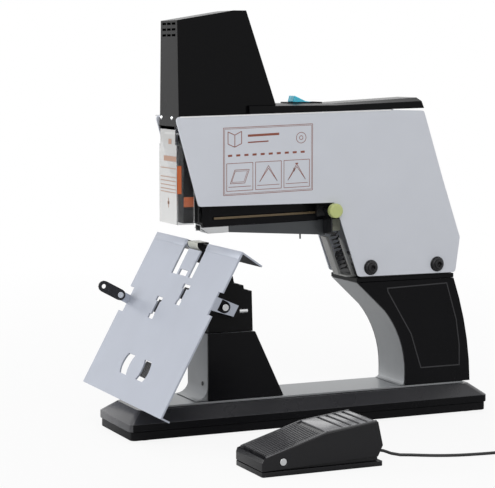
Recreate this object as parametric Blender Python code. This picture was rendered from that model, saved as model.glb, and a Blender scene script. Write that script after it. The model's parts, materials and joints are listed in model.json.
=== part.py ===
"""Electric saddle stapler with a foot pedal, modelled in metres with +Z up.

The machine stands on its base with the front of the base at x = 0 and its
centre plane at y = 0. One root empty moves that frame so that the origin is
in the middle of the footprint of machine and pedal. The table slopes down
to the front, the head reaches forward over it, and the pedal lies on the
near side.
"""
import math

import bmesh
import bpy
from mathutils import Vector

# Gaps and overruns
GAP = 0.0003
OVERRUN = 0.004
SLIDE_GAP = 0.0006

# Base
BASE_LENGTH = 0.358
BASE_WIDTH = 0.082
BASE_CORNER = 0.006
FOOT_HEIGHT = 0.0015
FOOT_RADIUS = 0.009
FOOT_INSET = 0.018
PLATE_HEIGHT = 0.0075
PLATE_INSET = 0.0015
RIM_HEIGHT = 0.0066
HIP_RUN = 0.0122
HIP_RISE = 0.0098
COVER_WALL = 0.0025
PLATE_LOW = FOOT_HEIGHT + GAP
RIM_LOW = PLATE_LOW + PLATE_HEIGHT + GAP
RIM_TOP = RIM_LOW + RIM_HEIGHT
BASE_TOP = RIM_TOP + HIP_RISE

# Frame strip, column and stand
STRIP_FRONT = 0.034
STRIP_REAR_MARGIN = 0.007
STRIP_HALF = 0.0262
STRIP_THICK = 0.0018
STRIP_LIP = 0.003
STRIP_LOW = BASE_TOP + GAP
STRIP_TOP = STRIP_LOW + STRIP_THICK
STAND_LOW = STRIP_TOP + GAP
COLUMN_FRONT = 0.0798
COLUMN_HALF = 0.0226
COLUMN_HEIGHT = 0.0597
COLUMN_TOP_LENGTH = 0.0457
COLUMN_FOOT_LENGTH = 0.0737
COLUMN_FILLET = 0.0115
COLUMN_FOOT_EDGE = 0.0006
COLUMN_TOP = STAND_LOW + COLUMN_HEIGHT
SKIN = 0.0013
STAND_HALF = 0.0262
STAND_INNER = STAND_HALF - SKIN - GAP
ARCH_CENTRE_X = 0.185
ARCH_CENTRE_Z = 0.040
ARCH_RADIUS = 0.092
ARCH_SWEEP = math.radians(40.0)
ARCH_THICK = 0.003
ARCH_FILLET = 0.004
STAND_HEIGHT = 0.0981
STAND_TOP = STAND_LOW + STAND_HEIGHT
STAND_REAR_FOOT = 0.3465
STAND_REAR_BULGE = 0.3455
STAND_REAR_TOP = 0.3278
EMBOSS_WIDTH = 0.0012
EMBOSS_HEIGHT = 0.0004
EMBOSS_SHARES = (
    (0.556, 0.152), (0.907, 0.152), (0.905, 0.35), (0.875, 0.60), (0.785, 0.960),
    (0.255, 0.941), (0.261, 0.900), (0.466, 0.487),
)
LEDGE_THICK = 0.0042
LEDGE_FRONT = 0.2262
LEDGE_LOW = STAND_TOP + GAP
LEDGE_TOP = LEDGE_LOW + LEDGE_THICK

# Sockets on the rear of the stand
INLET_WIDTH = 0.027
INLET_HEIGHT = 0.020
INLET_DEPTH = 0.016
INLET_WALL = 0.0022
INLET_LIP = 0.002
INLET_RISE = 0.022
PRONG_WIDTH = 0.004
PRONG_THICK = 0.002
PRONG_SPACING = 0.007
JACK_RADIUS = 0.006
JACK_BORE = 0.0035
JACK_DEPTH = 0.014
JACK_RISE = 0.062

# Anvil block on the column
BLOCK_HALF = 0.020
BLOCK_LOW = COLUMN_TOP + GAP
BLOCK_SETBACK = 0.0022
BLOCK_LENGTH = 0.043
BLOCK_RISE = 0.0497
BLOCK_SHARES = (
    (0, 0), (1, 0), (0.977, 0.718), (0.884, 0.722), (0.877, 0.742), (0.802, 0.748),
    (0.786, 0.829), (0.686, 0.833), (0.663, 0.859), (0.581, 0.865), (0.547, 1),
    (0.116, 1), (0.116, 0.80), (0, 0.80),
)
HINGE_X = 0.0811
HINGE_Z = 0.1665
HEAD_HALF = 0.0115
HEAD_RADIUS = 0.0059
HEAD_TOP = 0.1680
HEAD_START = math.radians(-110)
NECK_FRONT = 0.0795
NECK_LENGTH = 0.0245
NECK_RISE = 0.048
NECK_SHARES = (
    (0.28, 1), (0.28, 0.79), (0.714, 0.625), (1, 0.375), (1, 0), (0.347, 0), (0.347, 0.56), (0, 0.62),
)
ANVIL_HALF = 0.0082
ANVIL_FRONT = 0.0762
ANVIL_LENGTH = 0.0090
ANVIL_DEPTH = 0.0036
ANVIL_PROUD = 0.0002
GROOVE_LENGTH = 0.0045
GROOVE_WIDTH = 0.0016
GROOVE_DEPTH = 0.0007
STAPLE_HALF = 0.0058
PIN_RADIUS = 0.0010
PIN_BORE = PIN_RADIUS + GAP
CATCH_RADIUS = 0.0019
CATCH_FRONT = 0.092
CATCH_LENGTH = 0.023
CATCH_Y = -0.030
CATCH_Z = 0.108
CATCH_LUG_LENGTH = 0.008
CATCH_LUG_WALL = 0.003

# Folding table
RIDGE_X = 0.0801
RIDGE_Z = 0.1684
TABLE_SLOPE = math.radians(61.3)
TABLE_LENGTH = 0.1557
TABLE_HALF = 0.098
TABLE_SHEET = 0.0015
LIP_DEPTH = 0.009
FLAP_SLOPE = math.radians(34.7)
FLAP_LENGTH = 0.0225
SLOT_FAR_IN = 0.0104
SLOT_FAR_OUT = 0.0230
SLOT_NEAR_IN = -0.0164
SLOT_NEAR_OUT = -0.0255
SLOT_LENGTH = 0.033
TONGUE_TOP = 0.0075
LUG_REACH = 0.006
LUG_DROP = 0.006
LUG_OVERLAP = 0.0003
NOTCH_DEPTH = 0.008
EAR_NEAR_TOP = 0.043
EAR_NEAR_WIDTH = 0.0125
EAR_NEAR_DEPTH = 0.022
EAR_NOTCH = 0.0045
EAR_HOLE = 0.0052
STUD_RADIUS = 0.0029
STUD_DOWN = 0.0478
STUD_DEPTH = 0.0111
STUD_LENGTH = 0.0045
STUD_PLATE = 0.0018
EAR_FAR_TOP = 0.06495
EAR_FAR_WIDTH = 0.0085
EAR_FAR_HEIGHT = 0.013
EAR_FAR_NOTCH = 0.0081
EAR_FAR_INSET = 0.0105
EAR_FAR_Y = TABLE_HALF - EAR_FAR_INSET
TAB_WIDTH = 0.0105
TAB_LENGTH = 0.0181
TAB_THICK = 0.0016
TAB_RISE = 0.0100
TAB_BORE = 0.0021
RIVET_RADIUS = 0.0017
RIVET_HEAD = 0.0028
RIVET_HEAD_THICK = 0.0009
TABLE_HOLE_SHARES = (
    ("window", 0.180, 0.035, -0.107, 0.071),
    ("guide_far_top", 0.370, 0.028, 0.140, 0.280),
    ("guide_far_low", 0.480, 0.028, 0.150, 0.270),
    ("guide_near_top", 0.257, 0.029, -0.311, -0.153),
    ("guide_near_low", 0.358, 0.028, -0.275, -0.170),
    ("guide_far", 0.390, 0.100, 0.160, 0.235),
    ("guide_near", 0.280, 0.090, -0.262, -0.185),
)
ARC_RISE = 0.0312
ARC_DOWN = TABLE_LENGTH - ARC_RISE
ARC_OFFSET = 0.019
ARC_OUTER = 0.013
ARC_INNER = 0.015
ARC_HALF_HEIGHT = 0.0095

# Side plates and what joins them
PLATE_FRONT = 0.0475
PLATE_LENGTH = 0.2845
PLATE_FOOT = 0.1322
PLATE_RISE = 0.1513
PLATE_THICK = 0.0015
PLATE_SHARES = (
    (0, 0.974), (0.0759, 0.458), (0.5424, 0.455), (0.627, 0.003), (0.984, 0),
    (1, 0.215), (0.935, 0.569), (0.8614, 0.9934), (0.7434, 1),
)
PLATE_INNER = 0.0280
PLATE_OUTER = PLATE_INNER + PLATE_THICK
PLATE_FLANGE = 0.0069
PLATE_FAR_SETBACK = 0.0040
PLATE_FRONT_POINTS = 2
BOLT_RADIUS = 0.0030
BOLT_HEAD_RADIUS = 0.0062
BOLT_HEAD_THICK = 0.0030
BOLT_SOCKET = 0.0026
BOLT_Z = 0.1406
BOLT_FRONT = 0.2385
BOLT_SPACING = 0.0693
MOUNT_FRONT = 0.2310
MOUNT_LENGTH = 0.093
MOUNT_HEIGHT = 0.0185
MOUNT_LOW = LEDGE_TOP + GAP
MOUNT_HALF = PLATE_INNER - GAP
PIVOT_X = 0.258
PIVOT_Z = 0.192
PIVOT_RADIUS = 0.004
CHEEK_INNER = 0.0120
CHEEK_THICK = 0.005
CHEEK_LENGTH = 0.026
CHEEK_ABOVE = 0.010
BRIDGE_FRONT = 0.0675
BRIDGE_LENGTH = 0.062
BRIDGE_LOW = 0.2715
BRIDGE_THICK = 0.003

# Head cover, guard and switch
TOWER_FRONT = 0.0535
TOWER_LOW = 0.2780
TOWER_TOP = 0.3718
TOWER_LENGTH = 0.0966
TOWER_TOP_LENGTH = 0.0655
TOWER_TOP_DROP = 0.0089
TOWER_CREST_SHARE = 0.82
TOWER_HALF = 0.0222
TOWER_TOP_HALF = 0.0189
SHELL = 0.0022
SKIRT_LOW = 0.2710
SKIRT_HALF = 0.0218
SKIRT_LENGTH = 0.011
SKIRT_DROP = 0.015
REAR_COVER_LOW = 0.2842
REAR_COVER_END = 0.2945
REAR_COVER_FLAT = 0.204
REAR_COVER_LIFT = 0.0046
REAR_COVER_SIDE_SHARE = 0.65
REAR_COVER_HALF = 0.0262
REAR_COVER_TOP_HALF = 0.0175
REAR_COVER_SIDE = 0.0040
REAR_COVER_RISE = 0.0055
VENT_ROWS = 3
VENT_COUNT = 3
VENT_WIDTH = 0.0085
VENT_HEIGHT = 0.0020
VENT_PITCH = 0.0110
VENT_ROW_PITCH = 0.0050
VENT_DROP = 0.0118
VENT_TOP = TOWER_TOP - VENT_DROP
SKIRT_SCREW_BORE = 0.0015
SKIRT_SCREW_Y = 0.0123
SKIRT_SCREW_OFFSET = 0.0054
SKIRT_SCREW_Z = 0.2780
GUARD_FRONT = 0.0520
GUARD_HALF = 0.0205
GUARD_LOW = 0.1855
GUARD_TOP = 0.2550
GUARD_LENGTH = 0.0165
GUARD_SHEET = 0.0012
GUARD_NECK_HALF = 0.0175
GUARD_NECK_TOP = 0.2682
GUARD_NECK_LENGTH = 0.0095
GUARD_PIN_X = 0.0572
GUARD_PIN_Z = 0.2645
SWITCH_X = 0.1820
SWITCH_Z = 0.2850
SWITCH_HALF = 0.0086
SWITCH_WALL = 0.0022
SWITCH_DEPTH = 0.0090
SWITCH_BEZEL = 0.0060
ROCKER_REACH = 0.0124
ROCKER_CROWN = 0.0070
ROCKER_EDGE = 0.0089
ROCKER_SHOULDER = 0.0030
ROCKER_KEEL = 0.0040
ROCKER_TILT = math.radians(15.5)
ROCKER_HALF = 0.0061

# Solenoid and driver
SOLENOID_X = 0.090
YOKE_LENGTH = 0.050
YOKE_SHARE = 0.661
YOKE_HEIGHT = (TOWER_TOP - TOWER_LOW) * YOKE_SHARE
YOKE_HALF = 0.015
YOKE_WALL = 0.004
COIL_RADIUS = 0.0150
PLUNGER_RADIUS = 0.0055
PLUNGER_DROP = 0.012
BLADE_FRONT = 0.0776
BLADE_THICK = 0.0018
BLADE_HALF = 0.006
BLADE_TIP = 0.1845
BLADE_TOP = 0.2610
LINK_HEIGHT = 0.007
LINK_HALF = 0.0065
GUIDE_LENGTH = 0.013
GUIDE_HALF = 0.007
GUIDE_LOW = 0.1853

# Board and capacitor
BOARD_FRONT = 0.200
BOARD_LENGTH = 0.070
BOARD_LOW = 0.222
BOARD_HEIGHT = 0.042
BOARD_THICK = 0.0016
BOARD_STAND_OFF = 0.006
POST_RADIUS = 0.0025
CAPACITOR_RADIUS = 0.011
CAPACITOR_HEIGHT = 0.042
CAPACITOR_X = 0.300

# Arm, written from its pivot
ARM_TILT = math.radians(1.27)
RAIL_CLEARANCE = 0.0018
RAIL_REACH = PIVOT_X - BLADE_FRONT - BLADE_THICK - RAIL_CLEARANCE
RAIL_TAIL = 0.012
RAIL_BELOW = 0.0067
RAIL_ABOVE = 0.016
RAIL_HALF = 0.0083
RAIL_MOUTH_LENGTH = 0.0028
RAIL_MOUTH_HALF = 0.0022
RAIL_MOUTH_HEIGHT = 0.0065
SLOT_HEIGHT = 0.0024
SLOT_DEPTH = 0.0015
SLOT_Z = 0.0007
SLOT_MARGIN = 0.0098
SLOT_FRONT = RAIL_REACH - SLOT_MARGIN
SLOT_REAR = 0.0500
NOSE_LEAD = 0.0012
NOSE_LENGTH = 0.0268
NOSE_FRONT = RAIL_REACH + NOSE_LEAD
NOSE_REAR = NOSE_FRONT - NOSE_LENGTH
NOSE_HALF = 0.0076
NOSE_BELOW = 0.0127
NOSE_CHAMFER_LENGTH = 0.0065
NOSE_CHAMFER_RISE = 0.0045
CHANNEL_HALF = STAPLE_HALF + GAP
CHANNEL_FLOOR = 0.0112
CHANNEL_TOP = 0.0044
MAGAZINE_REAR = 0.0555
MAGAZINE_FRONT_BELOW = 0.0127
MAGAZINE_REAR_BELOW = 0.0208
MAGAZINE_HALF = 0.0073
GAUGE_X = 0.0773
GAUGE_RADIUS = 0.0008
GAUGE_LENGTH = 0.0015
STAPLE_LENGTH = 0.046
STAPLE_HEIGHT = 0.0062
STAPLE_WIRE = 0.0006
PUSHER_LENGTH = 0.011
SEAT_LENGTH = 0.0105
SEAT_HALF = 0.006
SEAT_Z = 0.1730
SLIDER_LENGTH = 0.016
SLIDER_X = 0.058
SLIDER_THICK = 0.004
SLIDER_BELOW = 0.003
SLIDER_ABOVE = 0.008
STOP_THICK = 0.0014
STOP_REACH = 0.0165
STOP_BELOW = 0.0190
STOP_LIP = 0.005
KNOB_Z = 0.0033
KNOB_RADIUS = 0.0066
KNOB_LENGTH = 0.0065
KNOB_SHAFT = 0.0019
KNOB_GAP = 0.0010
KNOB_CHAMFER = 0.0009

# Return spring and its bracket
SPRING_X = 0.2278
SPRING_LEAN = math.radians(18.7)
SPRING_RADIUS = 0.0036
SPRING_WIRE = 0.0010
SPRING_TURNS = 9
SPRING_POINTS = 9
BRACKET_THICK = 0.0013
BRACKET_LEAN = math.radians(21.2)
BRACKET_HEIGHT = 0.0360
BRACKET_FAR_IN = -0.0020
BRACKET_FAR_OUT = 0.0094
BRACKET_NEAR_IN = 0.0135
BRACKET_NEAR_OUT = 0.0165
BRACKET_NEAR_BACK = 0.0068
BRACKET_FOOT_FRONT = 0.2203
BRACKET_FOOT_LENGTH = 0.0103

# Pedal
PEDAL_FRONT = 0.0506
PEDAL_LENGTH = 0.108
PEDAL_Y = -0.1765
PEDAL_HALF = 0.0265
PEDAL_BASE = 0.0039
PEDAL_CREST = 0.0369
PEDAL_BROW = 0.0314
PEDAL_TOE = 0.0144
PEDAL_TOE_BEVEL = 0.003
PEDAL_BROW_SHARE = 0.537
PEDAL_REAR_SLANT = 0.0045
PEDAL_WALL = 0.002
PEDAL_EDGE = 0.0044
PEDAL_TRAVEL_GAP = 0.0036
PEDAL_PIN_X = 0.0690
PEDAL_PIN_Z = 0.0111
PEDAL_PIN_RADIUS = 0.003
PEDAL_LUG_INNER = 0.018
PEDAL_LUG_THICK = 0.004
PEDAL_REAR_NOTCH = 0.0170
REAR_WALL_X = 0.150
REAR_WALL_THICK = 0.002
REAR_WALL_TOP = 0.0125
MICRO_LENGTH = 0.020
MICRO_HALF = 0.005
MICRO_HEIGHT = 0.011
MICRO_X = 0.118
MICRO_BUTTON = 0.003

# Cord, its coil and its plug
CORD_DIAMETER = 0.0026
CORD_EXIT_X = 0.1630
CORD_EXIT_Z = 0.0076
RELIEF_LENGTH = 0.018
RELIEF_BIG = 0.0026
RELIEF_SMALL = 0.0018
CORD_FLOOR = CORD_DIAMETER / 2 + GAP / 2
COIL_X = 0.322
COIL_Y = -0.184
COIL_MEAN = 0.0155
COIL_LAYERS = 4
COIL_TURNS = 14.25
COIL_POINTS = 24
COIL_PITCH = 0.0031
COIL_CLIMB = 0.0031
CORD_STEP = 0.0065
RAMP_LENGTH = 0.024
RAMP_LEVEL_SHARE = 0.25
RAMP_POINTS = 12
PLUG_RADIUS = 0.0050
PLUG_LENGTH = 0.024
PLUG_TIP_RADIUS = 0.00315
PLUG_TIP_LENGTH = 0.015

MACHINE_X = -BASE_LENGTH / 2
MACHINE_Y = (PEDAL_HALF - PEDAL_Y - TABLE_HALF) / 2


def clear_scene():
    """Remove every object that the start-up scene holds."""
    for item in list(bpy.data.objects):
        bpy.data.objects.remove(item, do_unlink=True)


def look(name, colour, roughness, metallic=0.0, alpha=1.0):
    """Return a Principled material of one colour."""
    made = bpy.data.materials.new(name)
    made.use_nodes = True
    shader = made.node_tree.nodes["Principled BSDF"]
    shader.inputs["Base Color"].default_value = (*colour, 1.0)
    shader.inputs["Roughness"].default_value = roughness
    shader.inputs["Metallic"].default_value = metallic
    shader.inputs["Alpha"].default_value = alpha
    return made


def side(p, q, r):
    """A point drawn in the side view, x and z, at depth y."""
    return Vector((p, r, q))


def front(p, q, r):
    """A point drawn in the front view, y and z, at depth x."""
    return Vector((r, p, q))


def above(p, q, r):
    """A point drawn in the top view, x and y, at height z."""
    return Vector((p, q, r))


def panel_point(down, behind):
    """Side view point of the table panel, down from the ridge and behind it."""
    x = RIDGE_X - down * math.cos(TABLE_SLOPE) + behind * math.sin(TABLE_SLOPE)
    z = RIDGE_Z - down * math.sin(TABLE_SLOPE) - behind * math.cos(TABLE_SLOPE)
    return (x, z)


def flap_point(down, below):
    """Side view point of the rear flap, down from the ridge and below it."""
    x = RIDGE_X + down * math.cos(FLAP_SLOPE) - below * math.sin(FLAP_SLOPE)
    z = RIDGE_Z - down * math.sin(FLAP_SLOPE) - below * math.cos(FLAP_SLOPE)
    return (x, z)


def panel(p, q, r):
    """A point drawn on the table panel, down and y, at a depth behind it."""
    x, z = panel_point(p, r)
    return Vector((x, q, z))


def arc(centre, radius, start, end, steps):
    """Points of an arc from one angle to another, both ends included."""
    points = []
    for step in range(steps + 1):
        angle = start + (end - start) * step / steps
        points.append((centre[0] + radius * math.cos(angle), centre[1] + radius * math.sin(angle)))
    return points


def circle(centre, radius, sides):
    """Points of a whole circle."""
    return arc(centre, radius, 0, math.tau, sides)[:-1]


def rectangle(low_p, low_q, high_p, high_q):
    """The four corners of an upright rectangle."""
    return [(low_p, low_q), (high_p, low_q), (high_p, high_q), (low_p, high_q)]


def rounded(points, radius, steps=3):
    """Round every corner of an outline by one radius."""
    result = []
    count = len(points)
    for index, corner in enumerate(points):
        here = Vector(corner)
        back = (Vector(points[index - 1]) - here).normalized()
        ahead = (Vector(points[(index + 1) % count]) - here).normalized()
        half = back.angle(ahead) / 2
        reach = radius / math.tan(half)
        middle = here + (back + ahead).normalized() * radius / math.sin(half)
        start = here + back * reach - middle
        end = here + ahead * reach - middle
        turn = math.atan2(start.x * end.y - start.y * end.x, start.dot(end))
        first = math.atan2(start.y, start.x)
        result += arc(middle, radius, first, first + turn, steps)
    return result


def obj_from(name, shape, finish, parent, origin=(0, 0, 0)):
    """Link a bmesh as a named object whose origin is at a chosen point."""
    bmesh.ops.recalc_face_normals(shape, faces=shape.faces)
    bmesh.ops.translate(shape, verts=shape.verts, vec=-Vector(origin))
    mesh = bpy.data.meshes.new(name)
    shape.to_mesh(mesh)
    shape.free()
    mesh.shade_smooth()
    mesh.set_sharp_from_angle(angle=math.radians(30))
    item = bpy.data.objects.new(name, mesh)
    if finish:
        mesh.materials.append(finish)
    bpy.context.collection.objects.link(item)
    item.parent = parent
    item.location = origin
    return item


def slab(name, outline, view, low, high, finish, parent, origin=(0, 0, 0)):
    """Extrude an outline drawn in one view between two depths."""
    shape = bmesh.new()
    bottom = [shape.verts.new(view(p, q, low)) for p, q in outline]
    face = shape.faces.new(bottom)
    grown = bmesh.ops.extrude_face_region(shape, geom=[face])
    raised = [item for item in grown["geom"] if isinstance(item, bmesh.types.BMVert)]
    shift = view(0, 0, high) - view(0, 0, low)
    bmesh.ops.translate(shape, verts=raised, vec=shift)
    return obj_from(name, shape, finish, parent, origin)


def box(name, low, high, finish, parent, origin=(0, 0, 0)):
    """A box between two corners."""
    outline = rectangle(low[0], low[1], high[0], high[1])
    return slab(name, outline, above, low[2], high[2], finish, parent, origin)


def turned(name, profile, centre, direction, sides, finish, parent, origin=(0, 0, 0)):
    """Turn a profile of distance and radius about a line through a centre."""
    axis = Vector(direction).normalized()
    across = axis.orthogonal().normalized()
    other = axis.cross(across)
    shape = bmesh.new()
    rings = []
    for distance, radius in profile:
        ring = []
        for step in range(sides):
            angle = math.tau * step / sides
            out = across * math.cos(angle) + other * math.sin(angle)
            ring.append(shape.verts.new(Vector(centre) + axis * distance + out * radius))
        rings.append(ring)
    for lower, upper in zip(rings, rings[1:]):
        for step in range(sides):
            ahead = (step + 1) % sides
            shape.faces.new((lower[step], lower[ahead], upper[ahead], upper[step]))
    shape.faces.new(rings[0])
    shape.faces.new(rings[-1])
    return obj_from(name, shape, finish, parent, origin)


def rod(name, centre, direction, radius, length, finish, parent, sides=20, origin=(0, 0, 0)):
    """A plain round rod from a centre along a direction."""
    return turned(name, [(0, radius), (length, radius)], centre, direction, sides, finish, parent, origin)


def combine(target, piece, operation):
    """Join a piece to a target or cut it away, and keep it as a hidden guide."""
    step = target.modifiers.new(operation.lower() + "_" + piece.name, "BOOLEAN")
    step.operation = operation
    step.solver = "EXACT"
    step.object = piece
    piece.hide_render = True
    piece.display_type = "WIRE"
    return target


def cut(target, piece):
    """Cut a piece away from a target."""
    return combine(target, piece, "DIFFERENCE")


def join(target, piece):
    """Join a piece to a target."""
    return combine(target, piece, "UNION")


def hip(name, inset, low, finish, parent):
    """The base cover's outer or inner shape: an upright rim under a hipped top."""
    half = BASE_WIDTH / 2
    foot = rounded(rectangle(inset, inset - half, BASE_LENGTH - inset, half - inset), BASE_CORNER - inset)
    run = inset + HIP_RUN
    head = rounded(rectangle(run, run - half, BASE_LENGTH - run, half - run), BASE_CORNER - inset)
    shape = bmesh.new()
    rings = []
    levels = ((foot, low), (foot, RIM_TOP - inset / 2), (head, BASE_TOP - inset))
    for outline, height in levels:
        rings.append([shape.verts.new((x, y, height)) for x, y in outline])
    count = len(foot)
    for lower, upper in zip(rings, rings[1:]):
        for index in range(count):
            ahead = (index + 1) % count
            shape.faces.new((lower[index], lower[ahead], upper[ahead], upper[index]))
    shape.faces.new(rings[0])
    shape.faces.new(rings[-1])
    return obj_from(name, shape, finish, parent)


def build_base(parent, looks):
    """Steel plate, moulded cover and four rubber feet."""
    half = BASE_WIDTH / 2 - PLATE_INSET
    outline = rectangle(PLATE_INSET, -half, BASE_LENGTH - PLATE_INSET, half)
    outline = rounded(outline, BASE_CORNER - PLATE_INSET)
    slab("base_plate", outline, above, PLATE_LOW, PLATE_LOW + PLATE_HEIGHT, looks["plate"], parent)
    cover = hip("base_cover", 0, RIM_LOW, looks["black"], parent)
    cut(cover, hip("base_cover_inside", COVER_WALL, RIM_LOW - OVERRUN, None, parent))
    reach = BASE_WIDTH / 2 - FOOT_INSET
    for end, x in (("front", FOOT_INSET), ("rear", BASE_LENGTH - FOOT_INSET)):
        for place, y in (("near", -reach), ("far", reach)):
            name = "foot_" + end + "_" + place
            rod(name, (x, y, 0), (0, 0, 1), FOOT_RADIUS, FOOT_HEIGHT, looks["rubber"], parent)


def build_strip(parent, looks):
    """Frame strip along the top of the base, with a chamfered front edge."""
    rear = BASE_LENGTH - HIP_RUN - STRIP_REAR_MARGIN + GAP
    outline = [(STRIP_FRONT, STRIP_LOW), (rear, STRIP_LOW), (rear, STRIP_TOP)]
    outline += [(STRIP_FRONT + STRIP_LIP, STRIP_TOP), (STRIP_FRONT, STRIP_LOW + STRIP_THICK / 2)]
    slab("frame_strip", outline, side, -STRIP_HALF, STRIP_HALF, looks["grey"], parent)


def build_column(parent, looks):
    """Cast column with a fillet at its foot, and its two black covers."""
    centre = (COLUMN_FRONT - COLUMN_FILLET, STAND_LOW + COLUMN_FOOT_EDGE + COLUMN_FILLET)
    outline = arc(centre, COLUMN_FILLET, -math.pi / 2, 0, 6)
    outline = [(centre[0], STAND_LOW)] + outline
    outline += [(COLUMN_FRONT, COLUMN_TOP), (COLUMN_FRONT + COLUMN_TOP_LENGTH, COLUMN_TOP)]
    outline += [(COLUMN_FRONT + COLUMN_FOOT_LENGTH, STAND_LOW)]
    slab("frame_column", outline, side, -COLUMN_HALF, COLUMN_HALF, looks["grey"], parent)
    edge = COLUMN_FRONT + GAP
    skin = [(edge, STAND_LOW), (COLUMN_FRONT + COLUMN_FOOT_LENGTH, STAND_LOW)]
    skin += [(COLUMN_FRONT + COLUMN_TOP_LENGTH, COLUMN_TOP), (edge, COLUMN_TOP)]
    inner = COLUMN_HALF + GAP
    slab("column_cover_near", skin, side, -inner - SKIN, -inner, looks["black"], parent)
    slab("column_cover_far", skin, side, inner, inner + SKIN, looks["black"], parent)


def arch_line(offset, low, high):
    """Inner line of the arch from foot to top, moved outward by an offset."""
    centre = (ARCH_CENTRE_X, ARCH_CENTRE_Z)
    radius = ARCH_RADIUS + offset
    points = [(centre[0] + radius, low)]
    points += arc(centre, radius, 0, ARCH_SWEEP, 8)
    corner = points[-1]
    bend_x = ARCH_CENTRE_X + ARCH_RADIUS * math.cos(ARCH_SWEEP)
    bend_z = ARCH_CENTRE_Z + ARCH_RADIUS * math.sin(ARCH_SWEEP)
    slant = (LEDGE_FRONT + GAP - bend_x) / (STAND_TOP - bend_z)
    points.append((corner[0] + slant * (high - corner[1]), high))
    return points


def rear_line(offset, low, high, steps=5):
    """Bulging rear line of the stand from top to foot, moved inward."""
    points = []
    for step in range(steps + 1):
        share = step / steps
        x = STAND_REAR_TOP * (1 - share) ** 2 + STAND_REAR_FOOT * share ** 2
        x += 2 * STAND_REAR_BULGE * share * (1 - share)
        points.append((x - offset, high + (low - high) * share))
    return points


def build_stand(parent, looks):
    """Curved arch sheet, rear cover, two embossed side covers and the ledge."""
    inner = arch_line(0, STAND_LOW, STAND_TOP)
    outer = arch_line(ARCH_THICK, STAND_LOW, STAND_TOP)
    foot = (inner[0][0] - ARCH_FILLET, STAND_LOW + ARCH_FILLET)
    fillet = [(foot[0], STAND_LOW)] + arc(foot, ARCH_FILLET * (1 - GAP / ARCH_FILLET), -math.pi / 2, 0, 3)
    outline = fillet + inner[1:] + outer[::-1]
    slab("frame_arch", outline, side, -STAND_INNER, STAND_INNER, looks["grey"], parent)
    back = rear_line(0, STAND_LOW, STAND_TOP)
    hidden = rear_line(ARCH_THICK, STAND_LOW, STAND_TOP)
    rear = slab("stand_rear", back + hidden[::-1], side, -STAND_INNER, STAND_INNER, looks["black"], parent)
    cover = arch_line(GAP, STAND_LOW, STAND_TOP) + rear_line(0, STAND_LOW, STAND_TOP)
    for place, sign in (("near", -1), ("far", 1)):
        low, high = sorted((sign * (STAND_INNER + GAP), sign * STAND_HALF))
        plate = slab("stand_cover_" + place, cover, side, low, high, looks["black"], parent)
        join(plate, emboss(place, sign, parent))
    ledge = rectangle(LEDGE_FRONT, -STAND_HALF, STAND_REAR_TOP, STAND_HALF)
    slab("stand_ledge", ledge, above, LEDGE_LOW, LEDGE_TOP, looks["black"], parent)
    return rear


def drawn_in(points, width):
    """Anticlockwise outline with every edge moved inward by a width."""
    moved = []
    for index, (x, z) in enumerate(points):
        before, after = points[index - 1], points[(index + 1) % len(points)]
        first = Vector((x - before[0], z - before[1])).normalized()
        second = Vector((after[0] - x, after[1] - z)).normalized()
        turn = 1 + first.dot(second)
        moved.append((x - width * (first.y + second.y) / turn, z + width * (first.x + second.x) / turn))
    return moved


def emboss(place, sign, parent):
    """Raised border line on a stand cover, as a closed thin frame."""
    length = STAND_REAR_FOOT - LEDGE_FRONT
    rise = STAND_TOP - STAND_LOW
    line = [(LEDGE_FRONT + length * p, STAND_LOW + rise * q) for p, q in EMBOSS_SHARES]
    low, high = sorted((sign * (STAND_HALF - SKIN / 2), sign * (STAND_HALF + EMBOSS_HEIGHT)))
    frame = slab("emboss_" + place, line, side, low, high, None, parent)
    hole = drawn_in(line, EMBOSS_WIDTH)
    reach = sorted((0, sign * (STAND_HALF + EMBOSS_HEIGHT + OVERRUN)))
    cut(frame, slab("emboss_hole_" + place, hole, side, *reach, None, parent))
    return frame


def build_sockets(parent, looks, rear):
    """Mains inlet and pedal jack on the rear cover of the stand."""
    x = STAND_REAR_BULGE - ARCH_THICK - INLET_DEPTH + INLET_LIP
    mouth = x + INLET_DEPTH + ARCH_THICK
    low = STAND_LOW + INLET_RISE
    half = INLET_WIDTH / 2
    inlet = box("mains_inlet", (x, -half, low), (mouth, half, low + INLET_HEIGHT), looks["black"], parent)
    wall = INLET_WALL
    hollow = box("inlet_hollow", (x + wall, wall - half, low + wall),
                 (mouth + OVERRUN, half - wall, low + INLET_HEIGHT - wall), None, parent)
    cut(inlet, hollow)
    for index in (-1, 0, 1):
        y = index * PRONG_SPACING
        z = low + INLET_HEIGHT / 2
        prong = box("prong", (x + wall / 2, y - PRONG_THICK / 2, z - PRONG_WIDTH / 2),
                    (mouth - wall, y + PRONG_THICK / 2, z + PRONG_WIDTH / 2), None, parent)
        join(inlet, prong)
    grown = GAP
    opening = box("inlet_opening", (x - OVERRUN, -half - grown, low - grown),
                  (mouth + OVERRUN, half + grown, low + INLET_HEIGHT + grown), None, parent)
    cut(rear, opening)
    centre = (x + INLET_DEPTH - JACK_DEPTH, 0, STAND_LOW + JACK_RISE)
    length = JACK_DEPTH + ARCH_THICK
    jack = rod("pedal_socket", centre, (1, 0, 0), JACK_RADIUS, length, looks["black"], parent)
    bore = rod("jack_bore", (centre[0] + wall, 0, centre[2]), (1, 0, 0), JACK_BORE, length, None, parent)
    cut(jack, bore)
    hole = rod("jack_hole", (centre[0] - OVERRUN, 0, centre[2]), (1, 0, 0), JACK_RADIUS + GAP,
               length + OVERRUN * 2, None, parent)
    cut(rear, hole)


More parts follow.
